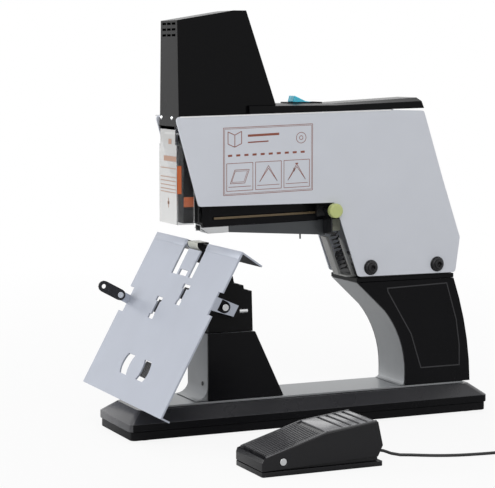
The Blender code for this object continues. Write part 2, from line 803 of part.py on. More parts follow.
def build_anvil(parent, looks):
    """Stepped block with its head, table pins and catch lug, and the anvil."""
    foot = COLUMN_FRONT + BLOCK_SETBACK
    outline = [(foot + BLOCK_LENGTH * p, BLOCK_LOW + BLOCK_RISE * q) for p, q in BLOCK_SHARES]
    block = slab("anvil_block", outline, side, -BLOCK_HALF, BLOCK_HALF, looks["black"], parent)
    rise = math.asin((HEAD_TOP - HINGE_Z) / HEAD_RADIUS)
    nose = arc((HINGE_X, HINGE_Z), HEAD_RADIUS, HEAD_START, -math.pi - rise, 8)
    low = HEAD_TOP - NECK_RISE
    neck = [(NECK_FRONT + NECK_LENGTH * p, low + NECK_RISE * q) for p, q in NECK_SHARES]
    join(block, slab("anvil_head", nose + neck, side, -HEAD_HALF, HEAD_HALF, None, parent))
    for name, reach in (("far_pin", SLOT_FAR_OUT - GAP), ("near_pin", SLOT_NEAR_OUT + GAP)):
        direction = (0, reach, 0)
        join(block, rod(name, (HINGE_X, 0, HINGE_Z), direction, PIN_RADIUS, abs(reach), None, parent, 12))
    floor = HEAD_TOP - ANVIL_DEPTH
    rear = ANVIL_FRONT + ANVIL_LENGTH
    pocket = box("anvil_pocket", (ANVIL_FRONT - GAP, -ANVIL_HALF - GAP, floor - GAP),
                 (rear + GAP, ANVIL_HALF + GAP, HEAD_TOP + OVERRUN), None, parent)
    cut(block, pocket)
    lug_half = CATCH_RADIUS + CATCH_LUG_WALL
    lug_front = CATCH_FRONT + CATCH_LENGTH / 4
    lug = box("catch_lug", (lug_front, CATCH_Y - lug_half, CATCH_Z - lug_half),
              (lug_front + CATCH_LUG_LENGTH, GAP - BLOCK_HALF, CATCH_Z + lug_half), None, parent)
    join(block, lug)
    bore = rod("catch_bore", (CATCH_FRONT, CATCH_Y, CATCH_Z), (1, 0, 0), CATCH_RADIUS + GAP,
               CATCH_LENGTH, None, parent)
    cut(block, bore)
    rod("catch_pin", (CATCH_FRONT, CATCH_Y, CATCH_Z), (1, 0, 0), CATCH_RADIUS, CATCH_LENGTH,
        looks["silver"], parent)
    anvil = box("anvil", (ANVIL_FRONT, -ANVIL_HALF, floor), (rear, ANVIL_HALF, HEAD_TOP + ANVIL_PROUD),
                looks["silver"], parent)
    line = BLADE_FRONT + BLADE_THICK / 2
    for index in (-1, 1):
        centre = index * (STAPLE_HALF - GROOVE_LENGTH / 2)
        groove = box("clinch_groove", (line - GROOVE_WIDTH / 2, centre - GROOVE_LENGTH / 2,
                                       HEAD_TOP + ANVIL_PROUD - GROOVE_DEPTH),
                     (line + GROOVE_WIDTH / 2, centre + GROOVE_LENGTH / 2, HEAD_TOP + OVERRUN),
                     None, parent)
        cut(anvil, groove)


def panel_hole(name, down, length, low, high, parent):
    """Cutter for a rectangular hole through the table panel."""
    outline = [panel_point(down, -OVERRUN), panel_point(down + length, -OVERRUN)]
    outline += [panel_point(down + length, OVERRUN), panel_point(down, OVERRUN)]
    return slab(name, outline, side, low, high, None, parent)


def table_sheet(parent, looks, hinge):
    """The folded sheet: lip, front panel and rear flap as one profile."""
    inner_fold = TABLE_SHEET / math.tan((math.pi - TABLE_SLOPE - FLAP_SLOPE) / 2)
    outline = [panel_point(TABLE_LENGTH, LIP_DEPTH), panel_point(TABLE_LENGTH, 0), (RIDGE_X, RIDGE_Z)]
    outline += [flap_point(FLAP_LENGTH, 0), flap_point(FLAP_LENGTH, TABLE_SHEET)]
    outline += [panel_point(inner_fold, TABLE_SHEET)]
    outline += [panel_point(TABLE_LENGTH - TABLE_SHEET, TABLE_SHEET)]
    outline += [panel_point(TABLE_LENGTH - TABLE_SHEET, LIP_DEPTH)]
    return slab("table_panel", outline, side, -TABLE_HALF, TABLE_HALF, looks["sheet"], parent, hinge)


def table_slots(table, parent):
    """The centre slots, the opening round the anvil head and the guide holes."""
    start = -OVERRUN
    cut(table, panel_hole("slot_far", TABLE_SHEET / 2, SLOT_LENGTH, SLOT_FAR_IN, SLOT_FAR_OUT, parent))
    cut(table, panel_hole("slot_near", TABLE_SHEET / 2, SLOT_LENGTH, SLOT_NEAR_OUT, SLOT_NEAR_IN, parent))
    cut(table, panel_hole("head_opening", start, TONGUE_TOP - start, SLOT_NEAR_OUT, SLOT_FAR_OUT, parent))
    flap = [flap_point(-OVERRUN / 2, -OVERRUN), flap_point(FLAP_LENGTH + OVERRUN, -OVERRUN)]
    flap += [flap_point(FLAP_LENGTH + OVERRUN, OVERRUN * 2), flap_point(-OVERRUN / 2, OVERRUN * 2)]
    cut(table, slab("flap_notch", flap, side, SLOT_NEAR_OUT, SLOT_FAR_OUT, None, parent))
    for name, down, length, low, high in TABLE_HOLE_SHARES:
        hole = panel_hole(name, down * TABLE_LENGTH, length * TABLE_LENGTH,
                          low * TABLE_HALF, high * TABLE_HALF, parent)
        cut(table, hole)
    outer_turn = math.asin(ARC_HALF_HEIGHT / ARC_OUTER)
    inner_turn = math.asin(ARC_HALF_HEIGHT / ARC_INNER)
    for name, sign in (("arc_far", 1), ("arc_near", -1)):
        middle = sign * math.pi / 2
        outline = arc((ARC_DOWN, sign * ARC_OFFSET), ARC_OUTER, middle - outer_turn,
                      middle + outer_turn, 6)
        outline += arc((ARC_DOWN, 0), ARC_INNER, middle + inner_turn, middle - inner_turn, 6)
        cut(table, slab(name, outline, panel, -OVERRUN, OVERRUN, None, parent))


def table_lug(name, low, high, parent):
    """One folded lug that hangs on a pin beside the anvil head."""
    outline = [(RIDGE_X, RIDGE_Z - GAP), panel_point(LUG_REACH, GAP)]
    outline += [(HINGE_X, HINGE_Z - LUG_DROP), flap_point(LUG_REACH, GAP)]
    lug = slab(name, outline, side, low, high, None, parent)
    bore = rod(name + "_bore", (HINGE_X, low - OVERRUN, HINGE_Z), (0, 1, 0), PIN_BORE,
               high - low + OVERRUN * 2, None, parent, 12)
    return cut(lug, bore)


def near_ear(parent):
    """The ear bent back from the near edge, with a window like a letter D."""
    down = EAR_NEAR_TOP
    skew = EAR_NEAR_WIDTH / 6
    outline = [panel_point(down, GAP), panel_point(down + EAR_NEAR_WIDTH, GAP)]
    outline += [panel_point(down + EAR_NEAR_WIDTH - skew * 2, EAR_NEAR_DEPTH)]
    outline += [panel_point(down - skew, EAR_NEAR_DEPTH)]
    edge = NOTCH_DEPTH - TABLE_HALF
    inner = edge + LUG_OVERLAP
    ear = slab("ear_near", outline, side, inner - TABLE_SHEET, inner, None, parent)
    window = arc((0, 0), EAR_HOLE, -math.pi / 2, math.pi / 2, 8)
    window += [(-EAR_HOLE, EAR_HOLE), (-EAR_HOLE, -EAR_HOLE)]
    window = [panel_point(STUD_DOWN + q, STUD_DEPTH + p) for p, q in window]
    return cut(ear, slab("ear_window", window, side, edge - OVERRUN, edge + OVERRUN, None, parent))


def build_table(parent, looks):
    """Folding table with its ears, stud and pull tab, hung on the head's pins."""
    hinge = (HINGE_X, 0, HINGE_Z)
    table = table_sheet(parent, looks, hinge)
    table_slots(table, parent)
    notch = TABLE_HALF - NOTCH_DEPTH
    height = EAR_NOTCH + EAR_NEAR_WIDTH + EAR_NOTCH
    cut(table, panel_hole("near_notch", EAR_NEAR_TOP - EAR_NOTCH, height,
                          -TABLE_HALF - OVERRUN, -notch, parent))
    height = EAR_FAR_NOTCH + EAR_FAR_WIDTH + EAR_FAR_NOTCH
    cut(table, panel_hole("far_notch", EAR_FAR_TOP - EAR_FAR_NOTCH, height,
                          EAR_FAR_Y, TABLE_HALF + OVERRUN, parent))
    join(table, near_ear(parent))
    inside = TABLE_SHEET - GAP
    ear = [panel_point(EAR_FAR_TOP, inside), panel_point(EAR_FAR_TOP + EAR_FAR_WIDTH, inside)]
    ear += [panel_point(EAR_FAR_TOP + EAR_FAR_WIDTH, -EAR_FAR_HEIGHT)]
    ear += [panel_point(EAR_FAR_TOP, -EAR_FAR_HEIGHT)]
    low = EAR_FAR_Y - LUG_OVERLAP
    join(table, slab("ear_far", ear, side, low, low + TABLE_SHEET, None, parent))
    join(table, table_lug("lug_far", SLOT_FAR_OUT - TABLE_SHEET, SLOT_FAR_OUT + LUG_OVERLAP, parent))
    join(table, table_lug("lug_near", SLOT_NEAR_OUT - LUG_OVERLAP, SLOT_NEAR_OUT + TABLE_SHEET, parent))
    x, z = panel_point(EAR_FAR_TOP + EAR_FAR_WIDTH / 2, -TAB_RISE)
    build_stud(parent, looks, hinge)
    build_tab(parent, looks, table, (x, low, z))


def build_stud(parent, looks, hinge):
    """Black backing plate with the silver stud that shows in the near ear."""
    x, z = panel_point(STUD_DOWN, STUD_DEPTH)
    edge = NOTCH_DEPTH - TABLE_HALF + LUG_OVERLAP + GAP
    reach = EAR_HOLE + TABLE_SHEET / 2
    outline = [(-reach, -reach), (reach, -reach), (reach, reach), (-reach, reach)]
    outline = [panel_point(STUD_DOWN + q, STUD_DEPTH + p) for p, q in outline]
    plate = slab("table_stud", outline, side, edge, edge + STUD_PLATE, looks["black"], parent, hinge)
    start = (x, edge + STUD_PLATE / 2, z)
    join(plate, rod("stud_round", start, (0, -1, 0), STUD_RADIUS, STUD_LENGTH, None, parent))


def build_tab(parent, looks, table, seat):
    """Black pull tab riveted to the far ear, with a hole near its free end."""
    x, y, z = seat
    down = EAR_FAR_TOP + EAR_FAR_WIDTH / 2
    half = TAB_WIDTH / 2
    outline = arc((0, 0), half, -math.pi, 0, 6) + arc((0, TAB_LENGTH), half, 0, math.pi, 6)
    outline = [panel_point(down + p, -TAB_RISE - q) for p, q in outline]
    low = y - GAP - TAB_THICK
    origin = (x, low, z)
    tab = slab("pull_tab", outline, side, low, low + TAB_THICK, looks["dark"], parent, origin)
    far_x, far_z = panel_point(down, -TAB_RISE - TAB_LENGTH)
    bores = (("tab_bore", (x, z), RIVET_RADIUS + GAP), ("tab_eye", (far_x, far_z), TAB_BORE))
    for name, at, radius in bores:
        cut(tab, rod(name, (at[0], low - OVERRUN, at[1]), (0, 1, 0), radius,
                     OVERRUN * 2 + TAB_THICK, None, parent, 16))
    back = y + TABLE_SHEET / 2
    reach = back + GAP - low
    profile = [(0, RIVET_RADIUS), (reach, RIVET_RADIUS), (reach, RIVET_HEAD)]
    profile += [(reach + RIVET_HEAD_THICK, RIVET_HEAD)]
    join(table, turned("tab_rivet", profile, (x, back, z), (0, -1, 0), 16, None, parent))


def plate_point(share):
    """Side view point of a side plate from shares of its length and rise."""
    return (PLATE_FRONT + PLATE_LENGTH * share[0], PLATE_FOOT + PLATE_RISE * share[1])


def plate_top(x):
    """Height of the side plate's sloping top edge at a place along it."""
    low, high = plate_point(PLATE_SHARES[0]), plate_point(PLATE_SHARES[-1])
    return low[1] + (high[1] - low[1]) * (x - low[0]) / (high[0] - low[0])


def build_side_plates(parent, looks):
    """Two painted plates, flanged along the top; the far one starts farther back."""
    corners = [plate_point(share) for share in PLATE_SHARES]
    outlines = {"near": rounded(corners, PLATE_THICK * 2, 3)}
    for index in range(PLATE_FRONT_POINTS):
        corners[index] = (corners[index][0] + PLATE_FAR_SETBACK, corners[index][1])
    outlines["far"] = rounded(corners, PLATE_THICK * 2, 3)
    top = [plate_point(PLATE_SHARES[-1]), plate_point(PLATE_SHARES[0])]
    ends = (top[1][0] + PLATE_FLANGE, top[0][0] - PLATE_FLANGE)
    flange = [(x, plate_top(x) - GAP / 2) for x in ends]
    flange += [(x, z - PLATE_THICK) for x, z in reversed(flange)]
    for place, sign in (("near", -1), ("far", 1)):
        low, high = sorted((sign * PLATE_INNER, sign * PLATE_OUTER))
        plate = slab("side_plate_" + place, outlines[place], side, low, high, looks["paint"], parent)
        low, high = sorted((sign * (PLATE_OUTER - PLATE_FLANGE), sign * (PLATE_OUTER - PLATE_THICK / 2)))
        join(plate, slab("flange_" + place, flange, side, low, high, None, parent))
        for x in (BOLT_FRONT, BOLT_FRONT + BOLT_SPACING):
            hole = rod("bolt_hole", (x, sign * (PLATE_INNER - OVERRUN), BOLT_Z), (0, sign, 0),
                       BOLT_RADIUS + GAP, OVERRUN * 3, None, parent)
            cut(plate, hole)


def build_mount(parent, looks):
    """Block on the stand that carries the plates and the arm, and its bolts."""
    low = (MOUNT_FRONT, -MOUNT_HALF, MOUNT_LOW)
    high = (MOUNT_FRONT + MOUNT_LENGTH, MOUNT_HALF, MOUNT_LOW + MOUNT_HEIGHT)
    mount = box("head_mount", low, high, looks["dark"], parent)
    front_x = PIVOT_X - CHEEK_LENGTH / 2
    for name, y in (("cheek_near", -CHEEK_INNER - CHEEK_THICK), ("cheek_far", CHEEK_INNER)):
        join(mount, box(name, (front_x, y, MOUNT_LOW + MOUNT_HEIGHT / 2),
                        (front_x + CHEEK_LENGTH, y + CHEEK_THICK, PIVOT_Z + CHEEK_ABOVE), None, parent))
    reach = CHEEK_INNER + CHEEK_THICK
    cut(mount, rod("pivot_bore", (PIVOT_X, -reach - OVERRUN, PIVOT_Z), (0, 1, 0), PIVOT_RADIUS + GAP,
                   (reach + OVERRUN) * 2, None, parent))
    rod("pivot_shaft", (PIVOT_X, -reach, PIVOT_Z), (0, 1, 0), PIVOT_RADIUS, reach * 2,
        looks["silver"], parent)
    for name, x in (("bolt_front", BOLT_FRONT), ("bolt_rear", BOLT_FRONT + BOLT_SPACING)):
        cut(mount, rod(name + "_bore", (x, -MOUNT_HALF - OVERRUN, BOLT_Z), (0, 1, 0), BOLT_RADIUS + GAP,
                       (MOUNT_HALF + OVERRUN) * 2, None, parent))
        build_bolt(name, x, parent, looks)


def build_bolt(name, x, parent, looks):
    """A through bolt with a socket head on the near side and a nut on the far."""
    seat = PLATE_OUTER + GAP
    reach = seat + BOLT_HEAD_THICK
    bevel = BOLT_HEAD_THICK / 3
    profile = [(0, BOLT_HEAD_RADIUS - bevel), (bevel, BOLT_HEAD_RADIUS)]
    profile += [(BOLT_HEAD_THICK, BOLT_HEAD_RADIUS), (BOLT_HEAD_THICK, BOLT_RADIUS)]
    profile += [(reach + seat, BOLT_RADIUS), (reach + seat, BOLT_HEAD_RADIUS)]
    profile += [(reach * 2, BOLT_HEAD_RADIUS)]
    bolt = turned(name, profile, (x, -reach, BOLT_Z), (0, 1, 0), 20, looks["dark"], parent)
    socket = rod(name + "_socket", (x, -reach - OVERRUN, BOLT_Z), (0, 1, 0), BOLT_SOCKET,
                 OVERRUN + BOLT_HEAD_THICK * 2 / 3, None, parent, 6)
    cut(bolt, socket)


def build_bridge(parent, looks):
    """Plate between the side plates that carries the solenoid and the guide."""
    bridge = box("bridge_plate", (BRIDGE_FRONT, -PLATE_INNER + GAP, BRIDGE_LOW),
                 (BRIDGE_FRONT + BRIDGE_LENGTH, PLATE_INNER - GAP, BRIDGE_LOW + BRIDGE_THICK),
                 looks["steel"], parent)
    cut(bridge, rod("bridge_bore", (SOLENOID_X, 0, BRIDGE_LOW - OVERRUN), (0, 0, 1),
                    PLUNGER_RADIUS + SLIDE_GAP, BRIDGE_THICK + OVERRUN * 2, None, parent))


def tower_outline(inset, low):
    """Side view of the tower, drawn in by a wall."""
    lean = TOWER_LENGTH - TOWER_TOP_LENGTH
    rise = TOWER_TOP - TOWER_LOW
    crown = TOWER_TOP - inset
    outline = [(TOWER_FRONT + inset, low), (TOWER_FRONT + inset, crown - TOWER_TOP_DROP)]
    outline.append((TOWER_FRONT + TOWER_TOP_LENGTH * TOWER_CREST_SHARE, crown))
    outline.append((TOWER_FRONT + TOWER_TOP_LENGTH - inset, crown))
    run = lean * (TOWER_LOW - low) / rise - inset * math.hypot(lean, rise) / rise
    outline.append((TOWER_FRONT + TOWER_LENGTH + run, low))
    return outline


def taper(item, inset):
    """Draw the tower's sides in towards its top."""
    for point in item.data.vertices:
        share = (point.co.z - TOWER_LOW) / (TOWER_TOP - TOWER_LOW)
        half = TOWER_HALF + (TOWER_TOP_HALF - TOWER_HALF) * max(share, 0) - inset
        point.co.y = math.copysign(half, point.co.y)
    return item


def rear_cover(name, inset, low, start, end, parent, finish=None):
    """Low rear cover: short upright sides under a flatter hipped top."""
    half = REAR_COVER_HALF - inset
    crown = REAR_COVER_LOW + REAR_COVER_RISE - inset
    shoulder = REAR_COVER_LOW + REAR_COVER_SIDE - inset / 2
    crown_half = REAR_COVER_TOP_HALF - inset / 2
    outline = [(-half, low), (half, low), (half - SHELL / 4, shoulder), (crown_half, crown)]
    outline += [(-crown_half, crown), (SHELL / 4 - half, shoulder)]
    item = slab(name, outline, front, start + inset, end - inset, finish, parent)
    divide(item, REAR_COVER_FLAT)
    for point in item.data.vertices:
        share = max(point.co.x - REAR_COVER_FLAT, 0) / (end - REAR_COVER_FLAT)
        if point.co.z < low + GAP:
            point.co.z += plate_top(point.co.x) + SLIDE_GAP - REAR_COVER_LOW
            continue
        rise = REAR_COVER_LIFT * share
        point.co.z += rise if point.co.z > shoulder + GAP else rise * REAR_COVER_SIDE_SHARE
        if share > REAR_COVER_SIDE_SHARE:
            point.co.x -= (point.co.z - REAR_COVER_LOW) / 3
    return item


def divide(item, place):
    """Divide a solid's faces along an upright plane across the machine."""
    shape = bmesh.new()
    shape.from_mesh(item.data)
    geometry = shape.verts[:] + shape.edges[:] + shape.faces[:]
    bmesh.ops.bisect_plane(shape, geom=geometry, plane_co=(place, 0, 0), plane_no=(1, 0, 0))
    shape.to_mesh(item.data)
    shape.free()


def build_cover(parent, looks):
    """Head cover: the tower, its front skirt and the rear cover, with vents."""
    cover = slab("head_cover", tower_outline(0, TOWER_LOW), side, -TOWER_HALF, TOWER_HALF,
                 looks["black"], parent)
    taper(cover, 0)
    start = TOWER_FRONT + TOWER_TOP_LENGTH
    join(cover, rear_cover("rear_cover", 0, REAR_COVER_LOW, start, REAR_COVER_END, parent))
    join(cover, skirt("skirt", 0, TOWER_LOW + SHELL, parent))
    inner = slab("tower_inside", tower_outline(SHELL, TOWER_LOW - OVERRUN), side,
                 -TOWER_HALF, TOWER_HALF, None, parent)
    cut(cover, taper(inner, SHELL))
    low = TOWER_LOW - OVERRUN
    cut(cover, rear_cover("rear_inside", SHELL, low, start, REAR_COVER_END, parent))
    half = SWITCH_HALF + GAP
    reach = switch_reach() + GAP
    cut(cover, box("switch_opening", (SWITCH_X - reach, -half, TOWER_LOW - OVERRUN),
                   (SWITCH_X + reach, half, TOWER_TOP), None, parent))
    for row in range(VENT_ROWS):
        z = VENT_TOP - row * VENT_ROW_PITCH
        for index in range(VENT_COUNT):
            y = (index - (VENT_COUNT - 1) / 2) * VENT_PITCH
            cut(cover, box("vent", (TOWER_FRONT - OVERRUN, y - VENT_WIDTH / 2, z - VENT_HEIGHT / 2),
                           (TOWER_FRONT + OVERRUN, y + VENT_WIDTH / 2, z + VENT_HEIGHT / 2), None, parent))
    for sign in (-1, 1):
        y = SKIRT_SCREW_OFFSET + sign * SKIRT_SCREW_Y
        cut(cover, rod("screw_hole", (TOWER_FRONT - OVERRUN, y, SKIRT_SCREW_Z), (1, 0, 0),
                       SKIRT_SCREW_BORE, OVERRUN * 2, None, parent, 10))
    pin = skirt_bore("guard_pin_bore", PIN_RADIUS + GAP, parent)
    cut(cover, pin)


def skirt(name, inset, high, parent):
    """Front skirt under the tower: a front wall and two slanting side walls."""
    low = SKIRT_LOW
    front_x = TOWER_FRONT - SHELL / 2
    wall = [(front_x, low), (TOWER_FRONT + SHELL, low), (TOWER_FRONT + SHELL, high), (TOWER_FRONT, high)]
    item = slab(name, wall, side, -SKIRT_HALF, SKIRT_HALF, None, parent)
    cheek = [(front_x, low), (front_x + SKIRT_DROP / 3, low - SKIRT_DROP)]
    cheek += [(front_x + SKIRT_DROP / 3 + SKIRT_LENGTH, low - SKIRT_DROP)]
    cheek += [(TOWER_FRONT + SKIRT_LENGTH, high), (TOWER_FRONT, high)]
    for place, sign in (("near", -1), ("far", 1)):
        depths = sorted((sign * SKIRT_HALF, sign * (SKIRT_HALF - SHELL)))
        join(item, slab(name + "_" + place, cheek, side, *depths, None, parent))
    return item


def skirt_bore(name, radius, parent):
    """Cutter for the guard pin's holes in both side walls of the skirt."""
    return rod(name, (GUARD_PIN_X, -SKIRT_HALF - OVERRUN, GUARD_PIN_Z), (0, 1, 0), radius,
               (SKIRT_HALF + OVERRUN) * 2, None, parent, 12)


def channel(name, half, length, low, high, parent, origin):
    """Upright clear channel: a front sheet with a wall folded back each side."""
    back = GUARD_FRONT + length
    inside = GUARD_FRONT + GUARD_SHEET
    wall = half - GUARD_SHEET
    outline = [(GUARD_FRONT, -half), (back, -half), (back, -wall), (inside, -wall)]
    outline += [(inside, wall), (back, wall), (back, half), (GUARD_FRONT, half)]
    return slab(name, outline, above, low, high, None, parent, origin)


def build_guard(parent, looks):
    """Clear guard hung on a pin in the skirt, free to swing forward."""
    origin = (GUARD_PIN_X, 0, GUARD_PIN_Z)
    guard = channel("guard", GUARD_HALF, GUARD_LENGTH, GUARD_LOW, GUARD_TOP, parent, origin)
    guard.data.materials.append(looks["clear"])
    join(guard, channel("guard_neck", GUARD_NECK_HALF, GUARD_NECK_LENGTH, GUARD_TOP - GUARD_SHEET,
                        GUARD_NECK_TOP, parent, (0, 0, 0)))
    cut(guard, skirt_bore("guard_bore", PIN_RADIUS + GAP, parent))
    rod("guard_pin", (GUARD_PIN_X, -SKIRT_HALF, GUARD_PIN_Z), (0, 1, 0), PIN_RADIUS, SKIRT_HALF * 2,
        looks["silver"], parent, 12)


def rocker_outline():
    """Side view of the rocker about its axis, tilted with its front end up."""
    reach = ROCKER_REACH
    outline = [(-reach, ROCKER_SHOULDER), (-ROCKER_KEEL, -ROCKER_SHOULDER), (ROCKER_KEEL, -ROCKER_SHOULDER)]
    outline += [(reach, ROCKER_SHOULDER), (reach, ROCKER_EDGE), (0, ROCKER_CROWN), (-reach, ROCKER_EDGE)]
    turn_cos, turn_sin = math.cos(-ROCKER_TILT), math.sin(-ROCKER_TILT)
    tilted = [(x * turn_cos - z * turn_sin, x * turn_sin + z * turn_cos) for x, z in outline]
    return [(SWITCH_X + x, SWITCH_Z + z) for x, z in tilted]


def switch_reach():
    """Half the length of the switch housing, from the rocker's lowered end."""
    swept = ROCKER_REACH * math.cos(ROCKER_TILT) + ROCKER_EDGE * math.sin(ROCKER_TILT)
    return swept + GAP + SWITCH_WALL


def build_switch(parent, looks):
    """Switch housing in the rear cover, with its rocker."""
    reach = switch_reach()
    top = SWITCH_Z + SWITCH_BEZEL
    housing = box("switch_housing", (SWITCH_X - reach, -SWITCH_HALF, SWITCH_Z - SWITCH_DEPTH),
                  (SWITCH_X + reach, SWITCH_HALF, top), looks["black"], parent)
    inside = reach - SWITCH_WALL
    cut(housing, box("switch_pocket", (SWITCH_X - inside, -ROCKER_HALF - GAP, SWITCH_Z - ROCKER_HALF),
                     (SWITCH_X + inside, ROCKER_HALF + GAP, top + OVERRUN), None, parent))
    slab("switch_rocker", rocker_outline(), side, -ROCKER_HALF, ROCKER_HALF, looks["cyan"], parent,
         (SWITCH_X, 0, SWITCH_Z))


def build_solenoid(parent, looks):
    """Solenoid on the bridge plate: open yoke, wound coil and sliding plunger."""
    low = BRIDGE_LOW + BRIDGE_THICK + GAP
    half = YOKE_LENGTH / 2
    yoke = box("solenoid_yoke", (SOLENOID_X - half, -YOKE_HALF, low),
               (SOLENOID_X + half, YOKE_HALF, low + YOKE_HEIGHT), looks["steel"], parent)
    wall = YOKE_WALL
    cut(yoke, box("yoke_window", (SOLENOID_X - half + wall, -YOKE_HALF - OVERRUN, low + wall),
                  (SOLENOID_X + half - wall, YOKE_HALF + OVERRUN, low + YOKE_HEIGHT - wall), None, parent))
    bore = PLUNGER_RADIUS + SLIDE_GAP
    cut(yoke, rod("yoke_bore", (SOLENOID_X, 0, low - OVERRUN), (0, 0, 1), bore,
                  YOKE_HEIGHT + OVERRUN * 2, None, parent))
    base = low + wall + GAP
    height = YOKE_HEIGHT - wall * 2 - GAP * 2
    coil = rod("solenoid_coil", (SOLENOID_X, 0, base), (0, 0, 1), COIL_RADIUS, height,
               looks["copper"], parent, 24)
    cut(coil, rod("coil_bore", (SOLENOID_X, 0, base - OVERRUN), (0, 0, 1), bore,
                  height + OVERRUN * 2, None, parent))
    link_top = BLADE_TOP + GAP
    rod("plunger", (SOLENOID_X, 0, link_top), (0, 0, 1), PLUNGER_RADIUS,
        low + YOKE_HEIGHT - wall - PLUNGER_DROP / 3 - link_top, looks["silver"], parent)


def build_driver(parent, looks):
    """Driver blade hung from the plunger by its link, and its guide column."""
    blade = box("driver_blade", (BLADE_FRONT, -BLADE_HALF, BLADE_TIP),
                (BLADE_FRONT + BLADE_THICK, BLADE_HALF, BLADE_TOP), looks["silver"], parent)
    join(blade, box("driver_link", (BLADE_FRONT, -LINK_HALF, BLADE_TOP - LINK_HEIGHT),
                    (SOLENOID_X + PLUNGER_RADIUS, LINK_HALF, BLADE_TOP), None, parent))
    rear = BLADE_FRONT - SLIDE_GAP
    box("driver_guide", (rear - GUIDE_LENGTH, -GUIDE_HALF, GUIDE_LOW),
        (rear, GUIDE_HALF, BRIDGE_LOW - GAP), looks["black"], parent)


def build_board(parent, looks):
    """Control board on posts from the far plate, and the capacitor."""
    face = PLATE_INNER - GAP
    y = face - BOARD_STAND_OFF
    board = box("control_board", (BOARD_FRONT, y - BOARD_THICK, BOARD_LOW),
                (BOARD_FRONT + BOARD_LENGTH, y, BOARD_LOW + BOARD_HEIGHT), looks["board"], parent)
    for x in (BOARD_FRONT + POST_RADIUS * 2, BOARD_FRONT + BOARD_LENGTH - POST_RADIUS * 2):
        for z in (BOARD_LOW + POST_RADIUS * 2, BOARD_LOW + BOARD_HEIGHT - POST_RADIUS * 2):
            post = rod("board_post", (x, y - BOARD_THICK / 2, z), (0, 1, 0), POST_RADIUS,
                       BOARD_STAND_OFF + BOARD_THICK / 2, None, parent, 8)
            join(board, post)
    rod("capacitor", (CAPACITOR_X, 0, MOUNT_LOW + MOUNT_HEIGHT + GAP), (0, 0, 1), CAPACITOR_RADIUS,
        CAPACITOR_HEIGHT, looks["dark"], parent, 16)


def build_rail(arm, looks):
    """Slotted rail with an oval mouth in its front end, bored for the pivot."""
    low = (-RAIL_REACH, -RAIL_HALF, -RAIL_BELOW)
    rail = box("arm_rail", low, (RAIL_TAIL, RAIL_HALF, RAIL_ABOVE), looks["black"], arm)
    cut(rail, rod("rail_bore", (0, -RAIL_HALF - OVERRUN, 0), (0, 1, 0), PIVOT_RADIUS + GAP,
                  (RAIL_HALF + OVERRUN) * 2, None, arm))
    cut(rail, box("rail_slot", (-SLOT_FRONT, -RAIL_HALF - OVERRUN, SLOT_Z - SLOT_HEIGHT / 2),
                  (-SLOT_REAR, SLOT_DEPTH - RAIL_HALF, SLOT_Z + SLOT_HEIGHT / 2), None, arm))
    cut(rail, box("staple_groove", (-RAIL_REACH - OVERRUN, -CHANNEL_HALF, -RAIL_BELOW - OVERRUN),
                  (-MAGAZINE_REAR, CHANNEL_HALF, -CHANNEL_TOP), None, arm))
    rise = RAIL_MOUTH_HEIGHT / 2
    mouth = [(RAIL_MOUTH_HALF * y, RAIL_BELOW + rise * z) for y, z in circle((0, 0), 1, 12)]
    cut(rail, slab("rail_mouth", mouth, front, -RAIL_REACH - OVERRUN,
                   RAIL_MOUTH_LENGTH - RAIL_REACH, None, arm))


def magazine_outline():
    """Side view of the magazine, deeper at its rear end."""
    front_x = GAP - NOSE_REAR
    outline = [(front_x, -MAGAZINE_FRONT_BELOW), (-MAGAZINE_REAR, -MAGAZINE_REAR_BELOW)]
    return outline + [(-MAGAZINE_REAR, -RAIL_BELOW - GAP), (front_x, -RAIL_BELOW - GAP)]


def build_magazine(arm, looks):
    """Nose and magazine, both open channels, with the strip and its pusher."""
    top = -RAIL_BELOW - GAP
    outline = [(-NOSE_FRONT, top), (-NOSE_FRONT, NOSE_CHAMFER_RISE - NOSE_BELOW)]
    outline += [(NOSE_CHAMFER_LENGTH - NOSE_FRONT, -NOSE_BELOW)]
    outline += [(-NOSE_REAR, -NOSE_BELOW), (-NOSE_REAR, top)]
    nose = slab("nose", outline, side, -NOSE_HALF, NOSE_HALF, looks["silver"], arm)
    magazine = slab("magazine", magazine_outline(), side, -MAGAZINE_HALF, MAGAZINE_HALF, looks["mid"], arm)
    reach = CHANNEL_HALF
    for target, start, end in ((nose, -NOSE_FRONT - OVERRUN, OVERRUN - NOSE_REAR),
                               (magazine, -NOSE_REAR - OVERRUN, OVERRUN - MAGAZINE_REAR)):
        cut(target, box("channel_cut", (start, -reach, -CHANNEL_FLOOR),
                        (end, reach, top + OVERRUN), None, arm))
    pin_top = GAP - CHANNEL_FLOOR - MAGAZINE_HALF / 4
    pin_length = GAUGE_LENGTH + MAGAZINE_REAR_BELOW - CHANNEL_FLOOR
    join(magazine, rod("gauge_pin", (-GAUGE_X, 0, pin_top), (0, 0, -1), GAUGE_RADIUS,
                       pin_length, None, arm, 10))
    low = GAP - CHANNEL_FLOOR
    high = low + STAPLE_HEIGHT
    start = GAP - NOSE_FRONT
    end = start + STAPLE_LENGTH
    wire = STAPLE_WIRE
    strip = box("staple_strip", (start, -STAPLE_HALF, low), (end, STAPLE_HALF, high), looks["silver"], arm)
    cut(strip, box("strip_inside", (start - OVERRUN, wire - STAPLE_HALF, low - OVERRUN),
                   (end + OVERRUN, STAPLE_HALF - wire, high - wire), None, arm))
    start = end + GAP
    box("pusher", (start, -STAPLE_HALF, low), (start + PUSHER_LENGTH, STAPLE_HALF, high),
        looks["steel"], arm, (start, 0, low))


